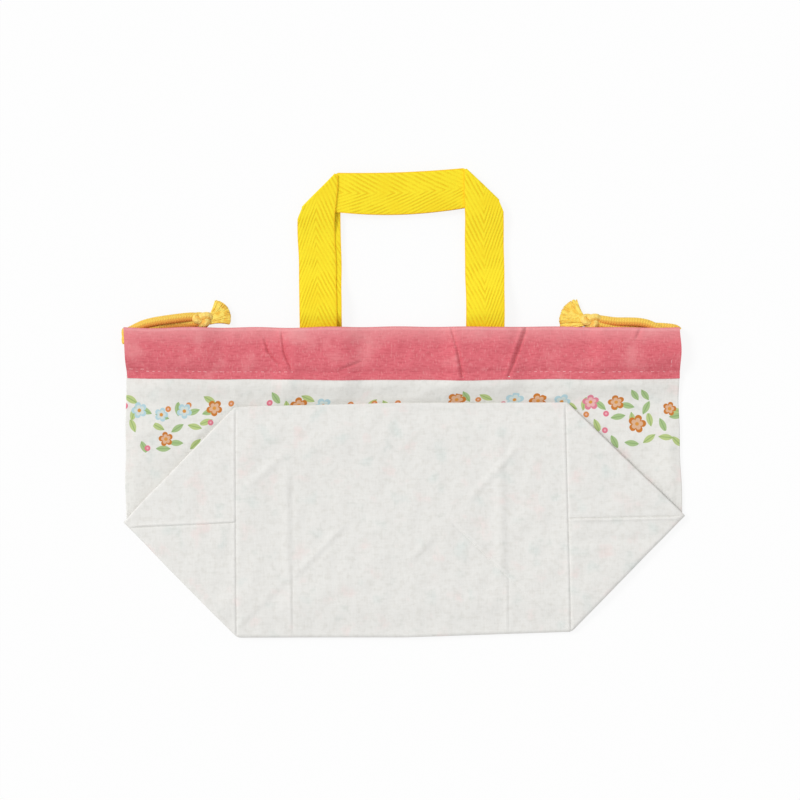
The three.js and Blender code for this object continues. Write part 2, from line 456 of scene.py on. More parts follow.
def score_beside(piece: Piece, start: Points, end: Points, half: float, cuts: Sequence[float]) -> None:
    """Cut lines side by side along a sharp crease, so that its groove and ridge come out clean.

    Args:
        piece: The pattern piece.
        start: The crease's start.
        end: Its end.
        half: Half the groove's width.
        cuts: How many of those each line lies to the crease's left.
    """
    way = (end - start) / np.linalg.norm(end - start)
    normal = np.array((-way[1], way[0]))
    for cut in cuts:
        score(piece, start + normal * cut * half, normal)


def store_pattern(piece: Piece, across: Points, along: Points) -> None:
    """Keep each point's place on its flat pattern as the piece's UV map, in metres.

    Args:
        piece: The piece.
        across: Each point's place across the cloth, in millimetres.
        along: Its place along the cloth.
    """
    mesh = piece.data
    layer = mesh.uv_layers.active or mesh.uv_layers.new(name="Pattern")
    layer.name = "Pattern"
    index = np.zeros(len(mesh.loops), int)
    mesh.loops.foreach_get("vertex_index", index)
    layer.data.foreach_set("uv", (np.column_stack([across[index], along[index]]) * MM).ravel())


def weld(piece: Piece) -> None:
    """Close a rolled sheet where its two edges meet.

    Args:
        piece: The sheet.
    """
    with editing(piece):
        bpy.ops.mesh.remove_doubles(threshold=0.00002)
        bpy.ops.mesh.normals_make_consistent(inside=False)


def smooth(piece: Piece, degrees: float) -> None:
    """Shade a piece smooth, apart from edges sharper than the angle."""
    activate(piece)
    bpy.ops.object.shade_smooth_by_angle(angle=math.radians(degrees))


def lay_sheet(piece: Piece, points: Points, thickness: float, degrees: float = 40) -> None:
    """Write a sheet's points in millimetres as they lie, and give it its cloth thickness on both sides.

    Args:
        piece: The sheet, still flat.
        points: Its points as they lie.
        thickness: The cloth's thickness.
        degrees: The sharpest edge that is shaded smooth.
    """
    write_points(piece, row_frame(points))
    activate(piece)
    wall = piece.modifiers.new("Cloth", "SOLIDIFY")
    wall.thickness = thickness * MM
    wall.offset = 0
    wall.use_even_offset = False
    bpy.ops.object.modifier_apply(modifier=wall.name)
    smooth(piece, degrees)


def fuse(name: str, parts: Sequence[Piece]) -> Piece:
    """Join parts into one piece.

    Args:
        name: The joined piece's name.
        parts: The parts, of which the first keeps the rest.

    Returns:
        The joined piece.
    """
    activate(parts[0])
    for part in parts[1:]:
        part.select_set(True)
    bpy.ops.object.join()
    parts[0].name = parts[0].data.name = name
    return parts[0]


def take_mesh(piece: Piece) -> tuple[Points, list[tuple[int, ...]]]:
    """Take an object's shape, to repeat it. The object goes.

    Args:
        piece: The object.

    Returns:
        Its points and its faces.
    """
    shape = read_points(piece), [tuple(face.vertices) for face in piece.data.polygons]
    bpy.data.objects.remove(piece)
    return shape


def repeat_mesh(name: str, copies: Sequence[Points], faces: Sequence[tuple[int, ...]]) -> Piece:
    """One piece of many copies of the same small mesh.

    Args:
        name: The piece's name.
        copies: Each copy's points, in millimetres.
        faces: The faces of one copy.

    Returns:
        The new piece.
    """
    every, count = [], len(copies[0])
    for index in range(len(copies)):
        every += [tuple(v + index * count for v in face) for face in faces]
    mesh = bpy.data.meshes.new(name)
    mesh.from_pydata(row_frame(np.concatenate(copies)).tolist(), [], every)
    piece = bpy.data.objects.new(name, mesh)
    bpy.context.scene.collection.objects.link(piece)
    weld(piece)
    return piece


def dress(piece: Piece, material: Material, nodes: Sequence[str] = ()) -> None:
    """Give a finished piece its material, and hide the CAD nodes that it stands for.

    Args:
        piece: The piece.
        material: Its material.
        nodes: The CAD nodes that it stands for.
    """
    piece.data.materials.clear()
    piece.data.materials.append(material)
    if nodes:
        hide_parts(*nodes)
    LOG.info("%s: %d faces", piece.name, len(piece.data.polygons))


def blend(piece: Piece, first: str, second: str, start: Sequence[float], end: Sequence[float]) -> None:
    """Bake a piece's place into its mesh."""
    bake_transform(piece)


class Side(Enum):
    """The bag's sides, by their sign in X."""

    LEFT = -1
    RIGHT = 1

    @property
    def sign(self) -> int:
        """Its sign in X."""
        return self.value

    @property
    def label(self) -> str:
        """Its name as pieces and bodies have it."""
        return self.name.lower()

    def half(self, reach: float = HALF_FLAT) -> Pair:
        """The x range of this half of the bag, in order."""
        return (-reach, 0.0) if self is Side.LEFT else (0.0, reach)

    def nodes(self, wing: str, middle: str) -> list[str]:
        """The CAD nodes that half a layer stands for: its wing's and, for the left half, the middle's."""
        return [f"{wing}_{self.label}"] + ([middle] if self is Side.LEFT else [])

    def bend(self, piece: Piece, body: str) -> None:
        """Hand half a layer to blend, with its body, its side wing and the side crease's span."""
        reach = (HALF_BASE - CREASE_HALF, HALF_BASE + CREASE_HALF)
        blend(piece, body, f"{body}_side_{self.label}", *((self.sign * x, HALF_DEPTH, 0) for x in reach))


@dataclass(frozen=True)
class Edge:
    """A folded edge, where the cloth turns round a small arc.

    Attributes:
        through: A point on the fold line, in millimetres.
        outward: The way out of the cloth, square to the line.
        radius: The arc's radius, in millimetres.
        turn: Which way the cloth goes round.
        degrees: How far round it goes.
    """

    through: Pair
    outward: Pair
    radius: float
    turn: Turn = Turn.DOWN
    degrees: float = 90.0
    steps = 4

    @property
    def normal(self) -> Points:
        """The way out of the cloth, of length 1."""
        way = np.array(self.outward, float)
        return way / np.linalg.norm(way)

    def cut(self, piece: Piece) -> None:
        """Trim a flat pattern piece at the arc's end, and cut the lines that the arc bends at.

        Args:
            piece: The pattern piece.
        """
        length = self.radius * math.radians(self.degrees)
        for step in (self.steps, *range(self.steps)):
            through = np.array(self.through) + self.normal * (length * step / self.steps)
            score(piece, through, self.outward, trim=step == self.steps)

    def wrap(self, points: Points) -> None:
        """Bend what lies beyond the line round the arc, in place.

        Args:
            points: Points as rows of x, y, z in millimetres.
        """
        past = (points[:, :2] - np.array(self.through)) @ self.normal
        over = past > 0
        angle = np.clip(past[over] / self.radius, 0, math.radians(self.degrees))
        points[over, :2] += np.outer(self.radius * np.sin(angle) - past[over], self.normal)
        points[over, 2] += self.turn.value * self.radius * (1 - np.cos(angle))


def linear(hex_colour: str) -> tuple[float, ...]:
    """An sRGB hex colour as linear red, green, blue and alpha."""
    values = [int(hex_colour[i : i + 2], 16) / 255 for i in (1, 3, 5)]
    return (*(v / 12.92 if v <= 0.04045 else ((v + 0.055) / 1.055) ** 2.4 for v in values), 1.0)


class Value:
    """An output in a node tree, on which arithmetic adds nodes."""

    def __init__(self, nodes: "Nodes", socket: bpy.types.NodeSocket) -> None:
        """Hold a tree's socket."""
        self.nodes, self.socket = nodes, socket

    def out(self, key: str | int) -> "Value":
        """Another output of the same node."""
        return Value(self.nodes, self.socket.node.outputs[key])

    def maths(self, operation: str, *others: object) -> "Value":
        """One step of arithmetic on this value."""
        return self.nodes.add("Math", dict(enumerate((self, *others))), operation=operation)

    def __add__(self, other: object) -> "Value":
        """Add to it."""
        return self.maths("ADD", other)

    def __sub__(self, other: object) -> "Value":
        """Take from it."""
        return self.maths("SUBTRACT", other)

    def __mul__(self, other: object) -> "Value":
        """Multiply it."""
        return self.maths("MULTIPLY", other)

    def __abs__(self) -> "Value":
        """Its size without its sign."""
        return self.maths("ABSOLUTE")

    def steps(self, start: float, end: float) -> "Value":
        """Rise smoothly from 0 where it is start to 1 where it is end."""
        settings = {0: self, 1: start, 2: end, 3: 0.0, 4: 1.0}
        return self.nodes.add("MapRange", settings, interpolation_type="SMOOTHSTEP")


class Nodes:
    """A material's or the world's node tree, with one function to add to it."""

    def __init__(self, owner: Material | bpy.types.World) -> None:
        """Empty a tree.

        Args:
            owner: The material or world that it belongs to.
        """
        owner.use_nodes = True
        self.owner, self.tree = owner, owner.node_tree
        self.tree.nodes.clear()

    def add(
        self, kind: str, inputs: dict | None = None, output: str | int = 0, **settings: object
    ) -> Value | None:
        """Add a node with its settings and links.

        Args:
            kind: The node's type name, without the ShaderNode before it.
            inputs: What goes in, by the input's name or number: a number, a colour or a value to link.
            output: The name or number of the output that is wanted.
            settings: The node's own settings.

        Returns:
            That output, or nothing for a node that has none.
        """
        node = self.tree.nodes.new("ShaderNode" + kind)
        for key, value in settings.items():
            setattr(node, key, value)
        for key, value in (inputs or {}).items():
            if isinstance(value, Value):
                self.tree.links.new(value.socket, node.inputs[key])
            else:
                node.inputs[key].default_value = linear(value) if isinstance(value, str) else value
        return Value(self, node.outputs[output]) if node.outputs else None

    def pattern(self) -> Value:
        """The place on a piece's flat pattern, in metres."""
        return self.add("UVMap", uv_map="Pattern")

    def split(self, vector: Value) -> tuple[Value, Value]:
        """A vector's x and y."""
        across = self.add("SeparateXYZ", {0: vector})
        return across, across.out(1)

    def mix(self, share: object, first: object, second: object) -> Value:
        """Mix two colours, each a value or a hex colour."""
        return self.add("Mix", {0: share, 6: first, 7: second}, 2, data_type="RGBA")

    def noise(self, place: Value, size: float, detail: float) -> Value:
        """Soft noise in blotches of a size in millimetres."""
        return self.add("TexNoise", {"Vector": place, "Scale": 1 / (size * MM), "Detail": detail})

    def threads(self, place: Value, wide: float, long: float, detail: float) -> Value:
        """Noise in flecks of a width and a length.

        Args:
            place: The place on the flat pattern, in metres.
            wide: A fleck's size across the pattern, in millimetres.
            long: Its size along it.
            detail: How many finer layers the noise has.

        Returns:
            The noise.
        """
        scale = (1 / (wide * MM), 1 / (long * MM), 1)
        flecks = self.add("Mapping", {"Vector": place, "Scale": scale})
        return self.add("TexNoise", {"Vector": flecks, "Scale": 1.0, "Detail": detail})

    def weave(self, place: Value, thread: float, length: float) -> Value:
        """A plain weave's height, from 0 to 1.

        Args:
            place: The place on the flat pattern, in metres.
            thread: The distance between threads, in millimetres.
            length: How long a thread keeps its thickness.

        Returns:
            The height.
        """
        return (self.threads(place, thread, length, 2.0) + self.threads(place, length, thread, 2.0)) * 0.5

    def seen(self) -> Value:
        """Whether the camera sees a place straight, in a mirror or through glass.

        Returns:
            1 where it does, and 0 elsewhere.
        """
        path = self.add("LightPath", output="Is Camera Ray")
        seen = path.maths("MAXIMUM", path.out("Is Glossy Ray"))
        return seen.maths("MAXIMUM", path.out("Is Transmission Ray"))

    def finish(
        self, colour: Value, roughness: float, height: Value, relief: float, **extras: float
    ) -> Material:
        """Close a material's tree with the cloth's shader.

        Args:
            colour: The surface colour.
            roughness: Its roughness.
            height: The relief's height, from 0 to 1.
            relief: What a height of 1 is, in millimetres.
            extras: Values for the shader's other inputs, with _ for a space.

        Returns:
            The material.
        """
        bump = self.add("Bump", {"Height": height, "Distance": relief * MM, "Strength": 1.0})
        inputs = {"Base Color": colour, "Roughness": roughness, "Normal": bump}
        inputs.update({key.replace("_", " "): value for key, value in extras.items()})
        self.add("OutputMaterial", {"Surface": self.add("BsdfPrincipled", inputs)})
        return self.owner


@dataclass(frozen=True)
class Motif:
    """One kind of printed motif, scattered over a loose lattice along the border.

    Attributes:
        pitch: The lattice's spacing, in millimetres.
        shift: Where the lattice starts.
        scatter: How far motifs stray from the lattice, from 0 to 1.
        size: A motif's radius, or half its length, in millimetres.
        rows: The lowest and highest place of a motif's middle.
        share: The share of places that hold one.
        colours: Its colours, of which each motif has one.
    """

    pitch: float
    shift: Pair
    scatter: float
    size: float
    rows: Pair
    share: float
    colours: tuple[str, ...]

    def scattered(self, nodes: Nodes, place: Value) -> tuple[Value, Value, Value, Value, Value]:
        """Add the lattice and the motifs' colours to a tree.

        Args:
            nodes: The material's tree.
            place: The place on the flat pattern, in millimetres.

        Returns:
            The distance from the nearest motif's middle, the angle round it, whether there is one, a random
            number of its own and its colour.
        """
        moved = nodes.add("VectorMath", {0: place, 1: (*self.shift, 0.0)}, operation="ADD")
        cells = {"Vector": moved, "Scale": 1 / self.pitch, "Randomness": self.scatter}
        middle = nodes.add("TexVoronoi", cells, "Position", voronoi_dimensions="2D", feature="F1")
        apart = nodes.add("VectorMath", {0: moved, 1: middle}, operation="SUBTRACT")
        away = nodes.add("VectorMath", {0: apart}, "Value", operation="LENGTH")
        across, along = nodes.split(apart)
        chance = nodes.add("SeparateColor", {0: middle.out("Color")})
        own = chance.out(1)
        angle = along.maths("ARCTAN2", across) + own * FULL_TURN
        level = nodes.split(middle)[1]
        low, high = (row + self.shift[1] for row in self.rows)
        there = level.maths("GREATER_THAN", low) * level.maths("LESS_THAN", high)
        there = there * chance.maths("LESS_THAN", self.share)
        return away, angle, there, own, self.tint(nodes, chance.out(2))

    def tint(self, nodes: Nodes, chance: Value) -> Value:
        """The motif's own colour.

        Args:
            nodes: The material's tree.
            chance: The random number that picks it.

        Returns:
            The colour.
        """
        picked = nodes.add("ValToRGB", {0: chance})
        ramp = picked.socket.node.color_ramp
        ramp.interpolation = "CONSTANT"
        for index, colour in enumerate(self.colours):
            place = index / len(self.colours)
            stop = ramp.elements[index] if index < 2 else ramp.elements.new(place)
            stop.position, stop.color = place, linear(colour)
        return picked


@dataclass(frozen=True)
class PrintedCotton:
    """White printed cotton sheeting: matt, finely woven, with the print that shows faintly through from inside.

    Attributes:
        name: The material's name.
        ground: The cloth's colour.
        border: Whether the flower border is on it.
    """

    name: str = "Printed cotton sheeting"
    ground: str = "#e5e4df"
    border: bool = True
    flowers: Motif = Motif(
        13.5, (3.0, -2.5), 0.55, 4.4, (93.0, 119.0), 0.8, ("#c8782a", "#b4d2da", "#dd8094", "#c8782a")
    )
    leaves: Motif = Motif(8.2, (1.0, 4.0), 0.7, 4.0, (92.0, 120.0), 0.75, ("#b7c884", "#a5bf86"))
    berries: Motif = Motif(10.5, (5.0, 1.5), 0.8, 1.5, (94.0, 119.0), 0.5, ("#e0788c", "#d98a4a"))

    def build(self) -> Material:
        """Make the material.

        Returns:
            The material.
        """
        nodes = Nodes(bpy.data.materials.new(self.name))
        place = nodes.pattern()
        # The threads are drawn twice as coarse as real ones, which are too fine to show
        height = nodes.weave(place, 0.85, 5.0)
        # Broad, faint tints of the inner print
        tint, flecks = nodes.noise(place, 12, 3.0), nodes.noise(place, 3, 4.0)
        colour = nodes.mix(tint.steps(0.56, 0.74) * 0.62, self.ground, "#ead7d3")
        colour = nodes.mix(tint.steps(0.44, 0.26) * 0.75, colour, "#d3dcd8")
        colour = nodes.mix(flecks.steps(0.56, 0.32) * 0.4, colour, "#d2cfc8")
        colour = nodes.mix(height.steps(0.25, 0.75) * 0.42, colour, "#f2f1ee")
        if self.border:
            flat = nodes.add("VectorMath", {0: place, "Scale": 1 / MM}, operation="SCALE")
            for draw in (self.draw_leaves, self.draw_berries, self.draw_flowers):
                colour = draw(nodes, flat, colour)
        return nodes.finish(colour, 0.9, height, 0.16, Sheen_Weight=0.05, Sheen_Roughness=0.5)

    def draw_leaves(self, nodes: Nodes, flat: Value, colour: Value) -> Value:
        """Print the leaves, which are long one way and pointed at both ends.

        Args:
            nodes: The material's tree.
            flat: The place on the flat pattern, in millimetres.
            colour: The cloth's colour so far.

        Returns:
            The printed colour.
        """
        away, angle, there, _, green = self.leaves.scattered(nodes, flat)
        size = self.leaves.size
        across = away * abs(angle.maths("SINE"))
        reach = (away * angle.maths("COSINE")).maths("DIVIDE", size).maths("POWER", 2.0)
        leaf = ((reach * -1.0 + 1.0) * (0.42 * size) - across).steps(-0.1, 0.25)
        green = nodes.mix(across.steps(0.35, 0.1) * 0.55, green, "#6f9a58")
        return nodes.mix(leaf * there, colour, green)

    def draw_berries(self, nodes: Nodes, flat: Value, colour: Value) -> Value:
        """Print the small round berries.

        Args:
            nodes: The material's tree.
            flat: The place on the flat pattern, in millimetres.
            colour: The cloth's colour so far.

        Returns:
            The printed colour.
        """
        away, _, there, _, red = self.berries.scattered(nodes, flat)
        dot = away.steps(self.berries.size + 0.2, self.berries.size - 0.2)
        return nodes.mix(dot * there, colour, nodes.mix(away.steps(0.75, 0.3) * 0.5, red, "#f6d9dc"))

    def draw_flowers(self, nodes: Nodes, flat: Value, colour: Value) -> Value:
        """Print the flowers. Each has five round petals, with an edge that dips only between them.

        Args:
            nodes: The material's tree.
            flat: The place on the flat pattern, in millimetres.
            colour: The cloth's colour so far.

        Returns:
            The printed colour.
        """
        away, angle, there, own, petal = self.flowers.scattered(nodes, flat)
        lobes = abs((angle * 2.5).maths("COSINE")).maths("POWER", 0.55)
        size = own * (0.3 * self.flowers.size) + 0.78 * self.flowers.size
        reach = size * (lobes * 0.45 + 0.55)
        petals, inner = (reach - away).steps(-0.15, 0.2), (reach * 0.66 - away).steps(-0.2, 0.25)
        bloom = nodes.mix(inner * 0.75, petal, nodes.mix(0.55, petal, "#f4ead6"))
        bloom = nodes.mix(away.steps(1.15, 0.75), bloom, "#d9933f")
        return nodes.mix(petals * there, colour, bloom)


@dataclass(frozen=True)
class SlubCotton:
    """Pink slub chambray of the casing: deep rose threads crossed by pale ones, matt and mottled."""

    name: str = "Slub cotton chambray"
    deep: str = "#ce5f69"
    body: str = "#df707a"
    pale: str = "#f0a5a6"

    def build(self) -> Material:
        """Make the material.

        Returns:
            The material.
        """
        nodes = Nodes(bpy.data.materials.new(self.name))
        place = nodes.pattern()
        # Slubs are thick stretches of weft, about 3 mm long, drawn twice as wide as they are to show
        slubs = nodes.threads(place, 3.4, 0.9, 3.0)
        warps = nodes.threads(place, 0.8, 2.2, 3.0)
        broad = nodes.noise(place, 22, 4.0)
        # The top fold is painted paler: partly rubbed wear, partly a painted highlight on its rounded, lit top.
        # It lies half way round the casing's pattern
        worn = abs(nodes.split(place)[1] - 1.5 * MM)
        colour = nodes.mix(slubs.steps(0.26, 0.6), self.deep, self.body)
        for share, tint in (
            (warps.steps(0.5, 0.72) * 0.34, self.pale),
            (broad.steps(0.52, 0.7) * 0.4, self.pale),
            (broad.steps(0.46, 0.3) * 0.5, self.deep),
            # Painted highlight and rubbed wear along the top fold
            (worn.steps(9 * MM, 0) * 0.34, "#f6b3b3"),
            (worn.steps(1.2 * MM, 0) * 0.2, "#f9cccb"),
        ):
            colour = nodes.mix(share, colour, tint)
        height = slubs * 0.6 + nodes.weave(place, 0.9, 4.0) * 0.4
        return nodes.finish(colour, 0.88, height, 0.12, Specular_IOR_Level=0.15)


@dataclass(frozen=True)
class HerringboneTape:
    """Cotton herringbone tape: two fields of slanting twill that meet in one chevron along its middle."""

    name: str = "Cotton herringbone tape"
    # The colour on the ribs, and the painted shade in the grooves between them
    lit: str = "#fce62e"
    groove: str = "#f0c61c"
    # How far apart the ribs are across the tape on its inner and outer half, and along it
    inner: float = 2.24
    outer: float = 1.68
    repeat: float = 4.25
    # How far apart the threads lie that cross each rib
    thread: float = 0.7

    def build(self) -> Material:
        """Make the material.

        Returns:
            The material.
        """
        nodes = Nodes(bpy.data.materials.new(self.name))
        place = nodes.pattern()
        x, y = nodes.split(place)
        rate = x.maths("GREATER_THAN", 0.0) * (1 / self.outer - 1 / self.inner) + 1 / self.inner
        phase = (abs(x) * rate + y * (1 / self.repeat)) * (1 / MM) + nodes.noise(place, 5, 2.0) * 0.35
        rib = (phase * FULL_TURN).maths("SINE").steps(-1.0, 0.5)
        beads = (y * (FULL_TURN / (self.thread * MM))).maths("SINE") * 0.5 + 0.5
        # The ribs stand out in some places and are rubbed flat in others
        worn = nodes.noise(place, 9, 1.0).steps(0.42, 0.62) * 0.6
        rib = nodes.mix(worn, rib, (0.7, 0.7, 0.7, 1.0))
        shade = rib * 0.55 + nodes.noise(place, 0.8, 2.0) * 0.6
        # The grooves between the ribs are painted darker: painted shade
        colour = nodes.mix(shade.steps(0.1, 0.75), self.groove, self.lit)
        colour = nodes.mix(nodes.noise(place, 18, 2.0).steps(0.48, 0.7) * 0.4, colour, "#f4cf1e")
        # The woven edges are painted a deeper orange yellow: painted warm shade for the narrow shadows along
        # the tape's edges
        colour = nodes.mix(abs(x).steps(9.2 * MM, 9.95 * MM) * 0.8, colour, "#ffc726")
        return nodes.finish(colour, 0.8, rib * 0.8 + beads * 0.2, 0.18, Specular_IOR_Level=0.15)


@dataclass(frozen=True)
class KnittedCord:
    """Soft knitted cotton cord: rows of small stitches, orange, painted yellow on one side as painted light and
    orange on the other as painted shade.
    """

    name: str = "Knitted cotton cord"
    # The lit and shaded colours are painted light and painted shade on the cord's two sides; the deep colour is
    # painted shade between the stitches
    lit: str = "#fbd662"
    shaded: str = "#f0a04a"
    deep: str = "#e58f38"
    stitch: float = 1.3
    wales: int = 7

    def build(self) -> Material:
        """Make the material.

        Returns:
            The material.
        """
        nodes = Nodes(bpy.data.materials.new(self.name))
        place = nodes.pattern()
        x, y = nodes.split(place)
        # Each wale is a run of V stitches: the slant changes side from one half of it to the other
        fold = abs((x * (self.wales / (CORD_GIRTH * MM))).maths("FRACT") - 0.5)
        along = y.maths("DIVIDE", self.stitch * MM)
        rows = ((along + fold * 1.1) * FULL_TURN).maths("SINE") * 0.5 + 0.5
        height = rows * fold.steps(0.5, 0.34)
        # One side of the cord is painted yellow as painted light, and the other orange as painted shade
        turn = (x * (FULL_TURN / (CORD_GIRTH * MM))).maths("COSINE")
        painted_light_and_shade = nodes.mix(turn.steps(-0.75, 0.35), self.shaded, self.lit)
        # Where the stitches are low the cord takes the deep colour, a painted shade in their hollows, with
        # random blotches of it too
        shade = height * 0.6 + nodes.noise(place, 1.4, 3.0) * 0.5
        colour = nodes.mix(shade.steps(-0.12, 0.5), self.deep, painted_light_and_shade)
        return nodes.finish(colour, 0.85, height, 0.18, Specular_IOR_Level=0.15)


@dataclass(frozen=True)
class Yarn:
    """Loose or sewn cotton yarn, twisted, a little lighter and darker along its length.

    Attributes:
        name: The material's name.
        light: Its colour where the light catches it.
        dark: Its colour between the plies, a painted shade.
        twist: The length of one turn of the plies, in millimetres.
    """

    name: str
    light: str
    dark: str
    twist: float

    def build(self) -> Material:
        """Make the material.

        Returns:
            The material.
        """
        nodes = Nodes(bpy.data.materials.new(self.name))
        fibres = nodes.noise(nodes.add("TexCoord", output="Object"), self.twist, 3.0)
        colour = nodes.mix(fibres.steps(0.35, 0.65), self.dark, self.light)
        return nodes.finish(colour, 0.85, fibres, 0.08, Sheen_Weight=0.15, Sheen_Roughness=0.4)


class Finishes:
    """The bag's materials, made once."""

    def __init__(self) -> None:
        """Make them."""
        self.printed = PrintedCotton().build()
        self.plain = PrintedCotton("Plain cotton sheeting", "#e4e3df", border=False).build()
        self.pink = SlubCotton().build()
        self.tape = HerringboneTape().build()
        self.cord = KnittedCord().build()
        # The knot's copy of the cord is painted lighter all over, a lit copy of the same cord
        self.knot = KnittedCord("Rubbed knitted cotton cord", "#fee27e", "#f8be55", "#efa648").build()
        self.tuft = Yarn("Frayed cotton yarn", "#ffe770", "#f7c84b", 2.0).build()
        self.thread = Yarn("Pink sewing thread", "#f6bdbd", "#e59098", 0.8).build()


@dataclass
class Panel:
    """A panel of pressed cloth, one half of the bag wide, cut from a grid and laid on its layer.

    Attributes:
        name: The piece's name.
        low: The pattern's lowest x and y.
        high: Its highest x and y.
        height: The middle height of the cloth, from x and y.
        edges: Its folded edges, where it goes round an arc.
        cuts: Plain cuts, each a point on the line and the way out.
        thickness: The cloth's thickness.
        cell: About how large the grid's cells are.
        upright: Turns the pattern's y into the wall's own length for the print.
        creases: Its pressed lines, of which the sharp ones get cells of their own.
        straight: Whether it keeps to the middle fold's line, and to that line's level.
    """

    name: str
    low: Pair
    high: Pair
    height: Shape
    edges: Sequence[Edge] = ()
    cuts: tuple[tuple[Pair, Pair], ...] = ()
    thickness: float = SHEETING
    cell: float = 1.9
    upright: Callable[[Points], Points] = staticmethod(lambda y: y)
    creases: tuple[Crease, ...] = ()
    straight: tuple[int, int] = (0, 0)

    def build(self) -> Piece:
        """Cut the pattern, turn its edges and lay it.

        Returns:
            The cloth.
        """
        cloth = add_grid(self.name, self.low, self.high, (self.cell, self.cell))
        for through, normal in self.cuts:
            score(cloth, through, normal, trim=True)
        for edge in self.edges:
            edge.cut(cloth)
        for crease in self.creases:
            start, end = LAY.pattern(crease.start), LAY.pattern(crease.end)
            if crease.half <= SHARP and self.low[0] < (start[0] + end[0]) / 2 < self.high[0]:
                score_beside(cloth, start, end, crease.half, SHARP_CUTS)
        points = read_points(cloth)
        store_pattern(cloth, points[:, 0], self.upright(points[:, 1]))
        for edge in self.edges:
            edge.wrap(points)
        x, y, z = points.T
        u, v = LAY.beside(x, y)
        line, level = LAY.straight(x, y)
        rise = LAY.swell(u, v) * (1 - self.straight[1] * level)
        v = v + (y - v) * line * self.straight[0]
        lay_sheet(cloth, np.column_stack([u, v, z + (self.height(x, y) + rise)]), self.thickness)
        return cloth


def at_level(level: float) -> Shape:
    """A height that is the same everywhere."""
    return lambda x, y: np.full_like(x, level)


@dataclass(frozen=True)
class Fold:
    """A narrow strip of cloth round a fold that runs across the bag, between two layers.

    Attributes:
        name: The strip's name.
        y: The fold line.
        heights: The middle heights of the layer that it starts from and of the one above that it goes to.
        away: -1 if the fold bulges towards the bottom of the photograph's bag, 1 if towards its mouth.
        share: How much of the half turn the strip covers, from the first layer.
        bodies: The two bodies that are passed to blend.
        turn: The two heights that are passed to blend.
    """

    name: str
    y: float
    heights: Pair
    away: int
    share: float
    bodies: tuple[str, str]
    turn: Pair

    def build(self, material: Material) -> None:
        """Lay the strip round its fold.

        Args:
            material: The cloth's material.
        """
        radius = (self.heights[1] - self.heights[0]) / 2
        lap = 0.6
        strip = add_grid(self.name, (-HALF_BASE, -lap), (HALF_BASE, math.pi * radius * self.share), (1.9, 0.35))
        x, past, _ = read_points(strip).T
        store_pattern(strip, x, past * self.away + self.y)
        angle = np.clip(past / radius, 0, math.pi)
        y = self.y + self.away * (radius * np.sin(angle) + np.minimum(past, 0))
        z = self.heights[0] + radius * (1 - np.cos(angle))
        u, v = LAY.beside(x, y)
        # The middle fold is kept straight and flat, as the layers that it joins are
        if self.y == HALF_DEPTH:
            v = y
        else:
            z = z + LAY.swell(u, v)
        lay_sheet(strip, np.column_stack([u, v, z]), SHEETING)
        dress(strip, material)
        blend(strip, *self.bodies, *((0, 0, level) for level in self.turn))


# The base's cloth lies a little above the middle of its layer
BASE_TOP = Layer.BASE + 0.1
BOTTOM_FOLD = Fold(
    "bottom_fold",
    0,
    (Layer.BACK, BASE_TOP),
    -1,
    0.52,
    ("back", "base"),
    (Layer.BACK + 0.1, Layer.BACK + LOW_FOLD),
)
TOP_FOLD = Fold(
    "top_fold",
    DEPTH,
    (Layer.LOWER, BASE_TOP),
    1,
    0.55,
    ("base", "front_lower"),
    (Layer.LOWER + HIGH_FOLD, Layer.LOWER + 0.1),
)
MIDDLE_FOLD = Fold(
    "middle_fold",
    HALF_DEPTH,
    (Layer.FRONT, Layer.LOWER),
    -1,
    1.0,
    ("front", "front_lower"),
    (Layer.FRONT, Layer.LOWER),
)


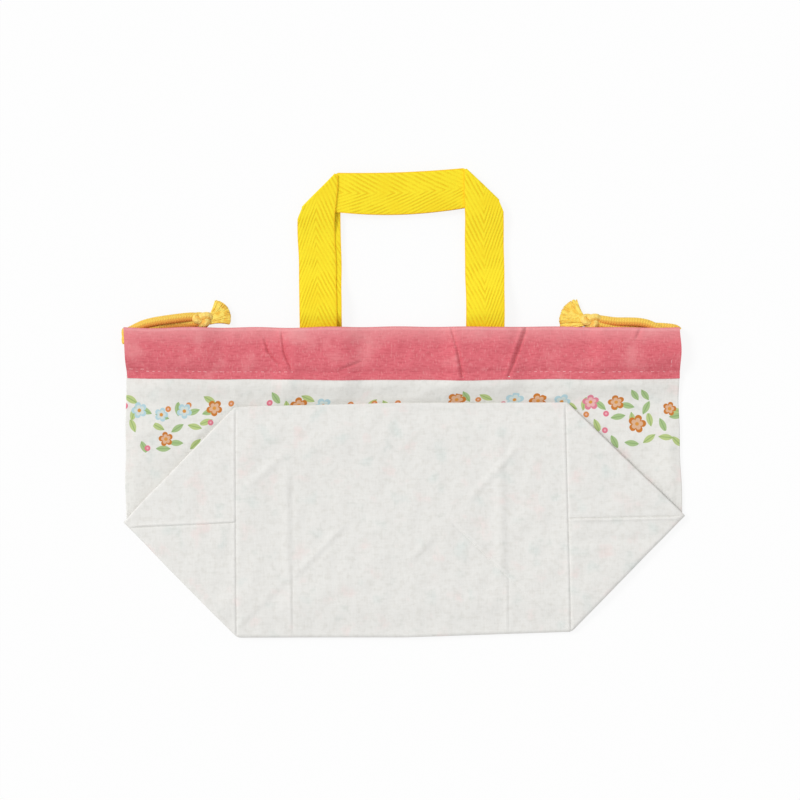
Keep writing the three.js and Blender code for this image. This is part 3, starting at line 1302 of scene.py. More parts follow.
@dataclass
class BoxedBottom:
    """The base, folded up over the front, with its corner triangles and the layers beneath it."""

    finishes: Finishes
    flap_inset: float = 0.5
    creases: tuple[Crease, ...] = (
        Crease((-84.4, 1), (-84.9, 113), 0.26, 0.16, 0.5, 3),
        Crease((82.8, 3), (80.0, 115), 0.3, 0.16, 0.5, 3),
        Crease((-56.2, 2), (-56.4, 32), 0.14, 0.17, 0.6, 18),
        Crease((-56.0, 30), (-56.4, 80), 0.1, 0.28, 1.4, 20),
        Crease((51.8, 3), (51.6, 30), 0.12, 0.15, 0.6, 18),
        Crease((51.6, 29), (51.0, 92), 0.06, 0.42, 1.8, 20),
        Crease((-53.0, 30), (-29.5, 54), 0.24, 0.38, 1.0, 16),
        Crease((-84.0, 2), (-56, 29), 0.14, 0.2, 1.2, 14),
        Crease((24.5, 56), (52.5, 28.5), 0.34, 0.36, 0.65, 14),
        Crease((54, 27), (83, 3), 0.24, 0.26, 0.75, 16),
        Crease((-62.5, 93.5), (-81.0, 77), -0.06, 0.46, 1.2, 10),
        Crease((3.9, 37), (15.8, 48.8), 0.04, 0.38, 1.1, 7),
        Crease((33.0, 66.8), (57.3, 92.8), 0.1, 0.4, 1.1, 9),
        Crease((-137.0, 54.6), (-85.6, 57.1), 0.34, 0.34, 0.45, 2),
        Crease((136.5, 60.4), (82.4, 59.4), 0.46, 0.36, 0.48, 2),
        Crease((127.0, 49.6), (83.0, 48.4), 0.4, 0.1, 2.4, 12),
        Crease((-112.0, 44), (-92.0, 40), 0.1, 0.2, 2.0, 10),
        Crease((-20.0, 100), (-48.0, 104), 0.06, 0.24, 2.4, 16),
        Crease((-34.0, 20), (-8.0, 26), 0.06, 0.22, 2.2, 18),
        Crease((12.0, 18), (44.0, 12), 0.06, 0.2, 2.4, 18),
    )
    pressed: Waves = Waves(14, 8, 30, 41)

    def base_height(self, x: Points, y: Points) -> Points:
        """The base's height, with its pressed lines.

        Args:
            x: Places across the bag.
            y: Places along it.

        Returns:
            The height at each place.
        """
        u, v = LAY.beside(x, y)
        rise = 1.3 * sum(crease.at(u, v) for crease in self.creases)
        # The spare corners inside hold the base up from its folds
        inside = 1 - np.clip((np.abs(x) - HALF_BASE) / 56, 0, 1)
        full = 1.5 * ease(y, 0, 16) * ease(y, DEPTH, DEPTH - 16) * inside
        return BASE_TOP + rise + full + 0.2 * self.pressed.at(u, v)

    def build(self) -> None:
        """Make the base, the layers under it and the folds between them."""
        for side in Side:
            self.base_cloth(side)
            self.lower_cloth(side)
            self.corner_flap(side)
        BOTTOM_FOLD.build(self.finishes.plain)
        TOP_FOLD.build(self.finishes.plain)
        MIDDLE_FOLD.build(self.finishes.printed)

    def base_cloth(self, side: Side) -> None:
        """One half of the base with its corner triangle.

        Args:
            side: The bag's side.
        """
        spare = 3.0
        low, high = side.half(HALF_FLAT + spare)
        corner = side.sign * HALF_BASE
        cloth = Panel(
            f"base_cloth_{side.label}",
            (low, -spare),
            (high, DEPTH + spare),
            self.base_height,
            edges=(
                Edge((0, 0), (0, -1), LOW_FOLD),
                Edge((0, DEPTH), (0, 1), HIGH_FOLD),
                Edge((corner, 0), (side.sign, -1), LOW_FOLD, degrees=108),
                Edge((corner, DEPTH), (side.sign, 1), HIGH_FOLD),
            ),
            thickness=0.42,
            cell=1.4,
            creases=self.creases,
        ).build()
        dress(cloth, self.finishes.plain, side.nodes("base_side", "base_panel"))
        side.bend(cloth, "base")

    def lower_cloth(self, side: Side) -> None:
        """One half of the lower front wall, which lies folded up under the base.

        Args:
            side: The bag's side.
        """
        low, high = side.half(HALF_FLAT + 2.0)
        cloth = Panel(
            f"front_lower_cloth_{side.label}",
            (low, HALF_DEPTH - LAP),
            (high, DEPTH),
            at_level(Layer.LOWER),
            edges=(Edge((side.sign * HALF_BASE, DEPTH), (side.sign, 1), HIGH_FOLD, Turn.UP),),
            cuts=(((side.sign * (HALF_FLAT - 1.2), 0), (side.sign, 0)),),
            upright=lambda y: DEPTH - y,
            straight=(1, 1),
        ).build()
        dress(cloth, self.finishes.printed, side.nodes("front_lower_side", "front_lower_panel"))
        side.bend(cloth, "front_lower")

    def corner_flap(self, side: Side) -> None:
        """The spare corner that lies inside, against the base.

        Args:
            side: The bag's side.
        """
        sign, inset = side.sign, self.flap_inset
        reach = HALF_BASE - inset
        ends = sorted((sign * reach, sign * (reach - HALF_DEPTH + inset)))
        flap = Panel(
            f"corner_flap_cloth_{side.label}",
            (ends[0], inset),
            (ends[1], DEPTH - inset),
            at_level(Layer.CORNER),
            cuts=(
                ((sign * reach, inset), (-sign, -1)),
                ((sign * reach, DEPTH - inset), (-sign, 1)),
            ),
        ).build()
        dress(flap, self.finishes.plain, [f"corner_flap_{side.label}"])
        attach(flap, "base")


@dataclass
class Walls:
    """The back and front walls, from the bottom fold to their casings."""

    finishes: Finishes
    # Where the front wall climbs from under the base to its casing
    climb: Pair = (116.0, 129.0)
    tuck: float = 1.6
    creases: tuple[Crease, ...] = (
        Crease((-81, 117), (-83, 129), 0.1, 0.3, 1.2, 6),
        Crease((12, 128), (-8, 119), 0.0, 0.5, 2.2, 10),
        Crease((84, 127), (60, 120), 0.1, 0.4, 1.8, 10),
        Crease((-136, 96), (-120, 101), 0.1, 0.5, 2.0, 8),
        Crease((-137, 82), (-118, 84), 0.0, 0.35, 2.5, 8),
        Crease((112, 96), (134, 88), 0.1, 0.4, 2.4, 8),
    )
    soft: Waves = Waves(12, 16, 44, 57)

    def back_height(self, x: Points, y: Points) -> Points:
        """The back wall's height, which rises into its casing's seam."""
        return Layer.BACK + 0.3 * ease(y, BAND_Y - 2, BAND_Y)

    def front_height(self, x: Points, y: Points) -> Points:
        """The front wall's height: flat under the base, then up to its casing.

        Args:
            x: Places across the bag.
            y: Places along it.

        Returns:
            The height at each place.
        """
        climb = CASING_RISE + 0.55 - Layer.FRONT - LAY.sink(x, y)
        u, v = LAY.beside(x, y)
        # Only cloth that nothing lies on is free to crease
        outside = np.abs(x) + y - (HALF_FLAT + HALF_DEPTH)
        clear = np.maximum(ease(y, 116.5, 119), ease(outside, 2, 7))
        inside = ease(HALF_FLAT - np.abs(x), 0, 5)
        free = sum(crease.at(u, v) for crease in self.creases) + 0.4 * (1 + self.soft.at(u, v))
        creased = clear * inside * free * ease(y, BAND_Y + 1, BAND_Y - 4)
        return Layer.FRONT + ease(y, *self.climb) * climb + creased

    def build(self) -> None:
        """Make both walls, each in two halves."""
        for side in Side:
            for wall in Wall:
                self.half(wall, side)

    def half(self, wall: Wall, side: Side) -> None:
        """One half of a wall.

        Args:
            wall: The wall.
            side: The bag's side.
        """
        spare, back = 3.0, wall is Wall.BACK
        low, high = side.half(HALF_FLAT + spare)
        seam = (Layer.FRONT - Layer.BACK) / 2
        edges = [Edge((side.sign * HALF_FLAT, 0), (side.sign, 0), seam, Turn.UP if back else Turn.DOWN)]
        if back:
            edges.append(Edge((side.sign * HALF_BASE, 0), (side.sign, -1), LOW_FOLD, Turn.UP))
        cloth = Panel(
            f"{wall.value}_cloth_{side.label}",
            (low, 0.0 if back else HALF_DEPTH - LAP),
            (high, BAND_Y + self.tuck),
            self.back_height if back else self.front_height,
            edges=edges,
            cell=1.8 if back else 1.3,
            straight=(0, 1) if back else (1, 1),
        ).build()
        nodes = side.nodes(f"{wall.value}_side_panel", f"{wall.value}_panel")
        dress(cloth, self.finishes.printed, nodes)
        side.bend(cloth, wall.value)


@dataclass(frozen=True)
class Facing:
    """A strip of cloth that lies hidden inside a seam, attached to a body.

    The bag lies a little narrower than it is cut, so without these the seams would open with it.

    Attributes:
        name: The strip's name.
        body: The body that it rides on.
        joint: The joint that would draw it out; not used.
        corner: Where the seam starts, in millimetres.
        along: The way along the seam. The strip lies on its left.
        span: How far along the seam it starts and ends.
        inset: How far inside the seam its two edges lie.
        pull: How far outside the seam lies the line that it would be drawn towards; not used.
        keep: The share of its width that would be left in the open bag; not used.
        level: Its middle height.
        thickness: Its thickness.
    """

    name: str
    body: str
    joint: str
    corner: Pair
    along: Pair
    span: Pair
    inset: Pair
    pull: float
    keep: float
    level: float
    thickness: float = 0.15

    def build(self, material: Material) -> None:
        """Lay the strip under its panel.

        Args:
            material: The cloth's material.
        """
        way = np.array(self.along) / np.linalg.norm(self.along)
        left = np.array((-way[1], way[0]))
        low, high = (self.span[0], self.inset[0]), (self.span[1], self.inset[1])
        strip = add_grid(self.name, low, high, (3.0, 3.0))
        points = read_points(strip)
        points[:, :2] = np.array(self.corner) + np.outer(points[:, 0], way) + np.outer(points[:, 1], left)
        x, y, _ = points.T
        store_pattern(strip, x, y)
        points[:, 2] = self.level + LAY.swell(x, y)
        lay_sheet(strip, points, self.thickness)
        dress(strip, material)
        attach(strip, self.body)
        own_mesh(strip)


FACINGS = (
    *(
        Facing(
            f"{wall.value}_seam_facing",
            f"{wall.value}_side_right",
            f"{wall.value}_side_fold_right",
            corner=(136.6, 58.5),
            along=(0, 1),
            span=(0, 72),
            inset=(0.6, 14.9),
            pull=7.2,
            keep=0.35,
            level=level,
        )
        for wall, level in ((Wall.BACK, 0.52), (Wall.FRONT, 0.78))
    ),
    Facing(
        "corner_facing",
        "base_side_right",
        "base_side_fold_right",
        corner=(HALF_BASE, 4.2),
        along=(55.6, 56.9),
        span=(4, 78),
        inset=(0.5, 25.5),
        pull=14.0,
        keep=0.38,
        level=3.05,
    ),
)


@dataclass
class Casing:
    """The drawstring casing: a doubled band of pink cotton round the mouth, open at both ends."""

    finishes: Finishes
    thickness: float = 0.34
    # How far above the band's lower edge it is stitched, and the radius of its top fold
    seam: float = 3.7
    top_round: float = 1.0
    # The heights of its inner and outer cloth
    inner: float = 0.2
    outer: float = 2.2
    # The row of its section that is the top fold
    top_row: int = 8
    stitch_long: float = 2.2
    stitch_pitch: float = 2.9
    stitch_half: Pair = (0.24, 0.17)
    wrinkles: tuple[Crease, ...] = (
        Crease((-68.3, 142.0), (-70.3, 149.0), 0.5, 0.34, 0.6, 3),
        Crease((-62.8, 136.0), (-68.3, 142.3), 0.45, 0.34, 0.6, 3),
        Crease((-60.4, 142.0), (-61.8, 152.5), 0.45, 0.34, 0.6, 3),
        Crease((-56.6, 133.2), (-60.4, 142.4), 0.7, 0.4, 0.8, 4),
        Crease((-32.5, 133.6), (-22.6, 137.4), 0.55, 0.3, 0.7, 4),
        Crease((26.2, 143.0), (23.0, 154.2), 0.45, 0.34, 0.7, 3),
        Crease((28.8, 130.0), (26.2, 143.2), 0.8, 0.5, 0.9, 3),
        Crease((51.3, 129.5), (54.0, 137.0), 0.55, 0.45, 0.8, 3),
        Crease((53.8, 136.6), (60.4, 154.6), 0.9, 0.6, 0.9, 3),
        Crease((115.0, 149.0), (117.5, 154.5), 0.4, 0.3, 0.8, 4),
        Crease((-120.0, 148.0), (-96.0, 145.0), 0.2, 0.3, 2.4, 12),
        Crease((70.0, 143.0), (98.0, 146.0), 0.2, 0.3, 2.6, 14),
        Crease((-30.0, 146.0), (8.0, 144.5), 0.2, 0.3, 2.6, 14),
        Crease((28.0, 144.5), (50.0, 141.0), 0.2, 0.3, 2.4, 10),
    )
    puckers: Waves = Waves(14, 7, 26, 77)

    def profile(self) -> tuple[Points, Points]:
        """The band's section from its inner lip over the top to its outer lip.

        Returns:
            Rows of y and z, and the length along the section at each.
        """
        middle = (self.inner + self.outer) / 2
        centre = MOUTH_Y - self.top_round - 0.2
        turn = [math.radians(a) for a in range(-90, 91, 15)]
        top = [(centre + self.top_round * math.cos(a), middle + self.top_round * math.sin(a)) for a in turn]
        shoulder = BAND_Y + self.seam
        low = [(BAND_Y, self.inner), (shoulder, self.inner)]
        high = [(shoulder + 6.0, self.outer), (shoulder + 2.6, 1.85), (shoulder + 0.8, 1.2)]
        section = np.array([*low, *top, *high, (shoulder, 0.9), (BAND_Y, 0.92)])
        return section, lengths(section)

    def along(self, share: Points) -> tuple[Points, Points, Points]:
        """Places round the section by their length from its top, in millimetres.

        Args:
            share: The length from the top fold; positive is the outer side.

        Returns:
            y, z and how far each place is on the outer side, from 0 to 1.
        """
        section, steps = self.profile()
        at = np.clip(share + steps[self.top_row], 0, steps[-1])
        return np.interp(at, steps, section[:, 0]), np.interp(at, steps, section[:, 1]), ease(share, -0.5, 1.5)

    def ends(self) -> Pair:
        """The lengths from the top fold to the inner and the outer lip."""
        _, steps = self.profile()
        return -float(steps[self.top_row]), float(steps[-1] - steps[self.top_row])

    def place(self, x: Points, share: Points, wall: Wall) -> Points:
        """Where a spot of the band's cloth lies.

        Args:
            x: The place across the bag.
            share: The length from the top fold.
            wall: The wall that the band is on.

        Returns:
            Rows of x, y and z in millimetres.
        """
        y, z, outer = self.along(share)
        u, v = LAY.beside(x, y)
        stitched = mound(y, BAND_Y + self.seam, 0.9)
        free = ease(y, BAND_Y + 1, BAND_Y + 7)
        rise = 0.24 * self.puckers.at(u, v) * free - 0.22 * stitched
        rise = rise + 0.12 * np.sin(u * FULL_TURN / 7.3) * stitched
        if wall is Wall.FRONT:
            wrinkled = np.clip(1.2 * sum(crease.at(u, v) for crease in self.wrinkles), -0.8, 1.2)
            z = z + CASING_RISE - LAY.sink(x, y) + outer * (rise + wrinkled * ease(y, BAND_Y - 1, BAND_Y + 2))
            # The straps inside push the band out
            z = z + 0.35 * outer * free * LAY.held(x, 5, -2)
        else:
            z = z + outer * rise * 0.6
        proud = (0.7 + 0.85 * mound(y, 145, 7)) * ease(x, 118, HALF_FLAT)
        return np.column_stack([u + proud, v, z + LAY.swell(u, v)])

    def build(self) -> None:
        """Make the front and back bands, each in two halves, and their stitches."""
        for wall in Wall:
            for side in Side:
                self.band(wall, side)
                self.stitches(wall, side)

    def band(self, wall: Wall, side: Side) -> None:
        """One half of a band.

        Args:
            wall: The wall that it is on.
            side: The bag's side.
        """
        low, high = side.half()
        inner, outer = self.ends()
        cell = (1.0, 0.9) if wall is Wall.FRONT else (1.6, 1.3)
        band = add_grid(f"{wall.value}_band_{side.label}", (low, inner), (high, outer), cell)
        if wall is Wall.FRONT:
            self.score_wrinkles(band, side)
        x, share, _ = read_points(band).T
        store_pattern(band, x, share)
        lay_sheet(band, self.place(x, share, wall), self.thickness, 60)
        nodes = side.nodes(f"{wall.value}_side_casing", f"{wall.value}_casing")
        dress(band, self.finishes.pink, nodes)
        side.bend(band, wall.value)

    def score_wrinkles(self, band: Piece, side: Side) -> None:
        """Cut the band's cells along its sharp wrinkles, while it is flat.

        Args:
            band: The half band.
            side: The bag's side.
        """
        section, steps = self.profile()
        # The outer side's rows and their lengths from the top fold. They run down, which swaps left and right
        rows, shares = -section[self.top_row :, 0], steps[self.top_row :] - steps[self.top_row]
        cuts = [-cut for cut in reversed(SHARP_CUTS)]
        for wrinkle in self.wrinkles:
            a, b = LAY.pattern(wrinkle.start), LAY.pattern(wrinkle.end)
            if wrinkle.half <= SHARP and side.sign * a[0] >= 0:
                start, end = (np.array((x, np.interp(-y, rows, shares))) for x, y in (a, b))
                score_beside(band, start, end, wrinkle.half, cuts)

    def stitches(self, wall: Wall, side: Side) -> None:
        """The stitched line along a band's lower edge, and the tacks at its ends.

        Args:
            wall: The wall that it is on.
            side: The bag's side.
        """
        front, left = wall is Wall.FRONT, side is Side.LEFT
        row = self.ends()[1] - self.seam
        count = int(HALF_FLAT / self.stitch_pitch)
        spots = [(side.sign * (i + 0.5) * self.stitch_pitch, row, 0.0) for i in range(count)]
        # The tacks are a short row below the line at the left end, and stand upright at the right end
        if front and left:
            spots += [(-137.6 + i * self.stitch_pitch, row - 1.1, 0.0) for i in range(3)]
        elif front:
            spots += [(135.2, row - 2.6 - i * 2.2, 90.0) for i in range(2)]
        stitch, faces = self.one_stitch()
        copies = []
        rng = np.random.default_rng(5 if left else 6)
        for x, along, turn in spots:
            # Stitches vanish in the wrinkles
            spot = LAY.beside(np.array([x]), np.array([BAND_Y + self.seam]))
            if front and abs(sum(float(wrinkle.at(*spot)[0]) for wrinkle in self.wrinkles)) > 0.12:
                continue
            tilt = math.radians(turn + rng.uniform(-5, 5))
            cos, sin = math.cos(tilt), math.sin(tilt)
            spun = stitch * (rng.uniform(0.7, 1.1), 1, 1) @ np.array(((cos, sin, 0), (-sin, cos, 0), (0, 0, 1)))
            laid = self.place(x + spun[:, 0], along - spun[:, 1], wall)
            sunk = 0.06 + 0.1 * ease(abs(x), 62, 46) + rng.uniform(-0.05, 0.05)
            laid[:, 2] += spun[:, 2] + self.thickness / 2 - sunk
            copies.append(laid)
        line = repeat_mesh(f"{wall.value}_stitches_{side.label}", copies, faces)
        smooth(line, 40)
        dress(line, self.finishes.thread)
        side.bend(line, wall.value)

    def one_stitch(self) -> tuple[Points, list[tuple[int, ...]]]:
        """One stitch with blunt ends.

        Returns:
            Its points in millimetres, and its faces.
        """
        deselect()
        bpy.ops.mesh.primitive_uv_sphere_add(segments=10, ring_count=6, radius=1)
        points, faces = take_mesh(bpy.context.active_object)
        points = points[:, (2, 0, 1)].copy()
        points[:, 0] = np.sign(points[:, 0]) * np.abs(points[:, 0]) ** 0.6
        return points * (self.stitch_long / 2, *self.stitch_half), faces


@dataclass
class Handle:
    """One webbing handle: two legs that are folded over a bar at mitred corners, and tabs inside the mouth.

    Attributes:
        finishes: The bag's materials.
        wall: The wall that it is sewn to.
        level: The middle height of its legs.
        peek: How far its left leg lies to the right of its place.
        left: The left leg's outer edge.
        right: The right leg's outer edge.
        width: The tape's width.
        top: The bar's upper edge.
        tab: Where the legs' tabs end, inside the mouth.
        hinge: Where the handle leaves the mouth; it is passed to blend.
        thickness: The tape's thickness.
        layer: How far the bar lies under the legs.
        droop: How far the legs and the bar lie below the height at which the legs leave the mouth.
        arch: How far the legs rise as they leave the mouth.
        dive: How far the bar dives under the legs.
        blunt: How much of a mitre's wide and sharp tip is missing, at its lower and its upper corner.
        lean: How far the left and right leg lean to the right at the mouth.
        rolled: How far their inner edges roll.
        ripple: The tape's unevenness.
    """

    finishes: Finishes
    wall: Wall
    level: float
    peek: float = 0.0
    left: float = -54.0
    right: float = 49.0
    width: float = 20.0
    top: float = 233.5
    tab: float = 131.0
    hinge: float = 163.0
    thickness: float = 0.72
    layer: float = 0.8
    droop: Pair = (4.7, 3.3)
    arch: float = 2.6
    dive: float = 0.2
    blunt: tuple[Pair, Pair] = ((1.1, 3.2), (0.15, 1.0))
    lean: Pair = (1.2, 0.4)
    rolled: Pair = (1.4, 0.7)
    ripple: Waves = Waves(8, 18, 50, 91)

    @property
    def under(self) -> float:
        """The bar's lower edge."""
        return self.top - self.width

    @property
    def middle(self) -> float:
        """The bar's middle line."""
        return self.top - self.width / 2

    def roll(self, x: Points) -> Points:
        """How far the legs' inner edges roll under, which makes them a little narrower than the bar.

        Args:
            x: Places across the handle.

        Returns:
            How far each place moves to the right.
        """
        past = ease(x, self.left + self.width, self.left + 1.8 * self.width)
        left = -self.rolled[0] * np.clip((x - self.left) / self.width, 0, 1) * (1 - past)
        past = ease(x, self.right - self.width, self.right - 1.8 * self.width)
        return left + self.rolled[1] * np.clip((self.right - x) / self.width, 0, 1) * (1 - past)

    def lay(self, points: Points) -> Points:
        """Lay the flat strap: its corners sag, its bar bows and it sinks towards the table.

        Args:
            points: The flat strap's points, in millimetres.

        Returns:
            The points as they lie.
        """
        # The tips of the folds are pressed flat
        y, z = np.minimum(points[:, 1], self.top), points[:, 2]
        tip = 0.5 * ease(y, 211.5, 213.8)
        x = np.clip(points[:, 0], self.left + tip, self.right - tip)
        t = np.clip((x - self.left) / (self.right - self.left), 0, 1)
        bar, low = ease(y, 206, 213), ease(y, 212, 160)
        aside = x - (self.left + self.right) / 2
        bow = 1 - np.clip(aside / 33, -1, 1) ** 2
        lower = np.clip((self.top - y) / self.width, 0, 1)
        roll = self.roll(x) * ease(y, 228, 206)
        away = np.abs(aside)
        dive = self.dive * ease(away, 23, 30) * ease(away, 41, 33) * bar * ease(-z, 0.1, 0.7)
        y = y + (-2.1 + 3.75 * t) * ease(y, 163, 212)
        y = y + bar * (0.5 * lower * (1 - bow) - bow * (0.98 + 0.89 * lower))
        x = x + roll + (self.lean[0] * (1 - t) + self.lean[1] * t) * low + self.peek * (1 - t)
        x = x + 0.22 * self.ripple.at(x, y) * ease(y, 160, 180)
        wave = 0.22 * (1 + self.ripple.at(x, y + 40)) * ease(y, 165, 185)
        legs, across = self.droop
        sunk = legs * ease(y, 164, 186) + (across - legs) * ease(y, 199, self.under - 1)
        arch = self.arch * ease(y, 154, 162.5)
        tilt = 0.045 * np.maximum(y - 211, 0)
        return np.column_stack([x, y, z + self.level + arch - sunk + wave - dive + tilt])

    def mitre(self, side: Side, turn: Turn) -> Edge:
        """The fold of the left or right corner, in a leg that turns down or in the bar that turns up."""
        outer = self.left if side is Side.LEFT else self.right
        return Edge((outer, self.under), (side.sign, 1), self.layer / 2, turn)

    def worn(self, across: Points) -> Points:
        """How much thinner the tape is, from its place off the middle: a woven edge is a little rounded."""
        return 0.18 * ease(np.abs(across), self.width / 2 - 1.4, self.width / 2)

    def blunt_corners(self, run: Piece, mitre: Edge, leg: bool) -> None:
        """Take the tips off a mitre's two corners.

        Args:
            run: The leg or the bar, still flat.
            mitre: Its mitre fold.
            leg: Whether it is a leg, whose upper corner is the sharp one; a bar's lower corner is.
        """
        outer, sign = mitre.through[0], mitre.outward[0]
        wide, narrow = math.cos(math.pi / 8), math.sin(math.pi / 8)
        low = (sign * wide, narrow if leg else -narrow)
        high = (-sign * narrow if leg else sign * narrow, wide)
        corners = ((outer, self.under), low), ((outer - sign * self.width, self.top), high)
        for index, (corner, way) in enumerate(corners):
            wide_tip, sharp_tip = self.blunt[index]
            gone = wide_tip if leg == (index == 0) else sharp_tip
            score(run, (corner[0] - way[0] * gone, corner[1] - way[1] * gone), way, trim=True)

    def leg(self, side: Side) -> Piece:
        """One leg, with its tab.

        Args:
            side: The handle's side.

        Returns:
            The leg, laid.
        """
        start = self.left if side is Side.LEFT else self.right - self.width
        run = add_grid("leg", (start, self.tab), (start + self.width, self.top + 2), (1.0, 1.0))
        mitre = self.mitre(side, Turn.DOWN)
        mitre.cut(run)
        self.blunt_corners(run, mitre, leg=True)
        points = read_points(run)
        across = side.sign * (points[:, 0] - (start + self.width / 2))
        # The right leg comes back down, so its length counts the other way
        shift = 0.0 if side is Side.LEFT else 2 * self.top + 60
        store_pattern(run, across, -side.sign * points[:, 1] + shift)
        mitre.wrap(points)
        points[:, 2] -= self.worn(across)
        lay_sheet(run, self.lay(points), self.thickness, 50)
        return run

    def bar(self) -> Piece:
        """The bar under the legs.

        Returns:
            The bar, laid.
        """
        run = add_grid("bar", (self.left - 2, self.under), (self.right + 2, self.top), (1.0, 1.0))
        mitres = [self.mitre(side, Turn.UP) for side in Side]
        for mitre in mitres:
            mitre.cut(run)
            self.blunt_corners(run, mitre, leg=False)
        points = read_points(run)
        store_pattern(run, self.middle - points[:, 1], points[:, 0] + self.top)
        for mitre in mitres:
            mitre.wrap(points)
        points[:, 2] -= self.layer
        points[:, 2] -= self.worn(points[:, 1] - self.middle)
        lay_sheet(run, self.lay(points), self.thickness, 50)
        return run

    def build(self) -> None:
        """Make the handle as one piece, and pass it to blend about its hinge."""
        wall = self.wall.value
        handle = fuse(f"{wall}_handle_tape", [*(self.leg(side) for side in Side), self.bar()])
        nodes = [f"{wall}_handle", f"{wall}_strap_tab_left", f"{wall}_strap_tab_right"]
        dress(handle, self.finishes.tape, nodes)
        blend(handle, wall, f"{wall}_handle", (0, self.hinge - 4, 0), (0, self.hinge + 4, 0))


def smooth_route(route: Sequence[Sequence[float]], count: int) -> Points:
    """Points evenly spread along a smooth curve through a route.

    Args:
        route: The route's points, in millimetres.
        count: How many points to make.

    Returns:
        Rows of x, y and z.
    """
    given = np.array(route, float)
    ends = np.vstack([2 * given[0] - given[1], given, 2 * given[-1] - given[-2]])
    fine = []
    for i in range(1, len(ends) - 2):
        p0, p1, p2, p3 = ends[i - 1 : i + 3]
        square, cube = 2 * p0 - 5 * p1 + 4 * p2 - p3, 3 * p1 - p0 - 3 * p2 + p3
        for t in np.linspace(0, 1, 12, endpoint=False):
            fine.append(0.5 * (2 * p1 + (p2 - p0) * t + square * t**2 + cube * t**3))
    line = np.array([*fine, given[-1]])
    steps = lengths(line)
    at = np.linspace(0, steps[-1], count)
    return np.column_stack([np.interp(at, steps, line[:, k]) for k in range(3)])


def add_roll(around: int, rows: int) -> Piece:
    """Add a flat square grid of size 1 that is to be rolled.

    Args:
        around: Its cells in X, which will go round.
        rows: Its cells in Y.

    Returns:
        The new object.
    """
    deselect()
    bpy.ops.mesh.primitive_grid_add(x_subdivisions=around, y_subdivisions=rows, size=1)
    return bpy.context.active_object


@dataclass
class Tube:
    """A cord's knitted tube along a line, pressed to an oval.

    Attributes:
        name: The piece's name.
        line: Its middle line, in millimetres.
        width: The oval's size level with the table.
        height: The oval's size square to it.
        around: Cells round it.
        closed: Whether the line is a loop.
        flat: The way that is square to the oval's width, as a guide.
    """

    name: str
    line: Points
    width: float
    height: float
    around: int
    closed: bool = False
    flat: Triple = (0, 0, 1)

    def build(self) -> Piece:
        """Roll a grid into the tube.

        Returns:
            The tube.
        """
        last = len(self.line) - 1
        steps = lengths(self.line)
        tube = add_roll(self.around, last)
        tube.name = tube.data.name = self.name
        round_it, along, _ = read_points(tube).T + 0.5
        turn = round_it * FULL_TURN
        row = np.clip(np.rint(along * last).astype(int), 0, last)
        store_pattern(tube, round_it * CORD_GIRTH, steps[row])
        ahead = np.gradient(self.line, axis=0)
        if self.closed:
            ahead[0] = ahead[-1] = self.line[1] - self.line[-2]
        ahead /= np.linalg.norm(ahead, axis=1)[:, None]
        aside = np.cross(ahead, self.flat)
        aside /= np.maximum(np.linalg.norm(aside, axis=1)[:, None], 1e-6)
        up = np.cross(aside, ahead)
        wide, tall = self.width / 2 * np.cos(turn), self.height / 2 * np.sin(turn)
        write_points(tube, row_frame(self.line[row] + (aside[row] * wide[:, None] + up[row] * tall[:, None])))
        weld(tube)
        if not self.closed:
            with editing(tube):
                bpy.ops.mesh.region_to_loop()
                bpy.ops.mesh.fill_holes(sides=0)
            weld(tube)
        smooth(tube, 60)
        return tube


class Route(Enum):
    """The free strands' lines, from the casing's open end to the knot, as in the part's source."""

    LEFT_UPPER = (
        (-139.7, 152, 4.1), (-137, 153.4, 4.1), (-133.5, 155.2, 4.2), (-130, 156.6, 4.3), (-125, 157.8, 4.4),
        (-120, 158.6, 4.5), (-115, 159.3, 4.4), (-110, 159.9, 4.1), (-107, 160.1, 3.7), (-104, 160, 3.3),
    )
    LEFT_LOWER = (
        (-139.7, 147, 4.1), (-136, 148.4, 4), (-131, 151.7, 3.5), (-126, 154, 3), (-121, 155.4, 2.6),
        (-116, 156.2, 2.4), (-111, 156.6, 2.4), (-107, 156.9, 2.6), (-103.5, 157.4, 2.9),
    )
    RIGHT_UPPER = (
        (136.3, 152.9, 4.1), (135.2, 153.9, 4.1), (132.6, 154.5, 3.9), (128, 154.9, 3.5), (123, 155.1, 3.3),
        (117, 154.8, 3.3), (111, 154.4, 3.3), (105, 154.5, 3.4), (99, 155.3, 3.5), (95.5, 156.7, 3.2),
    )
    RIGHT_LOWER = (
        (135.7, 146.8, 4.1), (134, 147.3, 4.1), (131.4, 149.6, 4.4), (127, 153.3, 4.8), (122, 156.1, 4.9),
        (117, 157.3, 4.9), (112, 157.6, 4.6), (105, 157.7, 4), (99, 158.5, 3.6), (95.5, 159, 3.2),
    )


@dataclass(frozen=True)
class Tail:
    """What differs between the cords on the bag's two sides.

    Attributes:
        knot: The knot's middle, in millimetres.
        fan: The frayed end's lowest and highest direction, in degrees, and its length.
        seed: The seed of its yarns.
        turns: Each turn's row and how far out it reaches.
    """

    knot: Triple
    fan: Triple
    seed: int
    turns: tuple[Pair, Pair, Pair]


TAILS = {
    Side.LEFT: Tail(
        knot=(-101.4, 158.8, 2.9),
        fan=(-12.0, 72.0, 10.8),
        seed=31,
        turns=((152.2, 141.5), (148.6, 141.1), (140.0, 138.0)),
    ),
    Side.RIGHT: Tail(
        knot=(92.9, 158.0, 2.9),
        fan=(-35.0, 68.0, 12.6),
        seed=37,
        turns=((151.0, 134.6), (146.6, 134.6), (140.0, 133.6)),
    ),
}


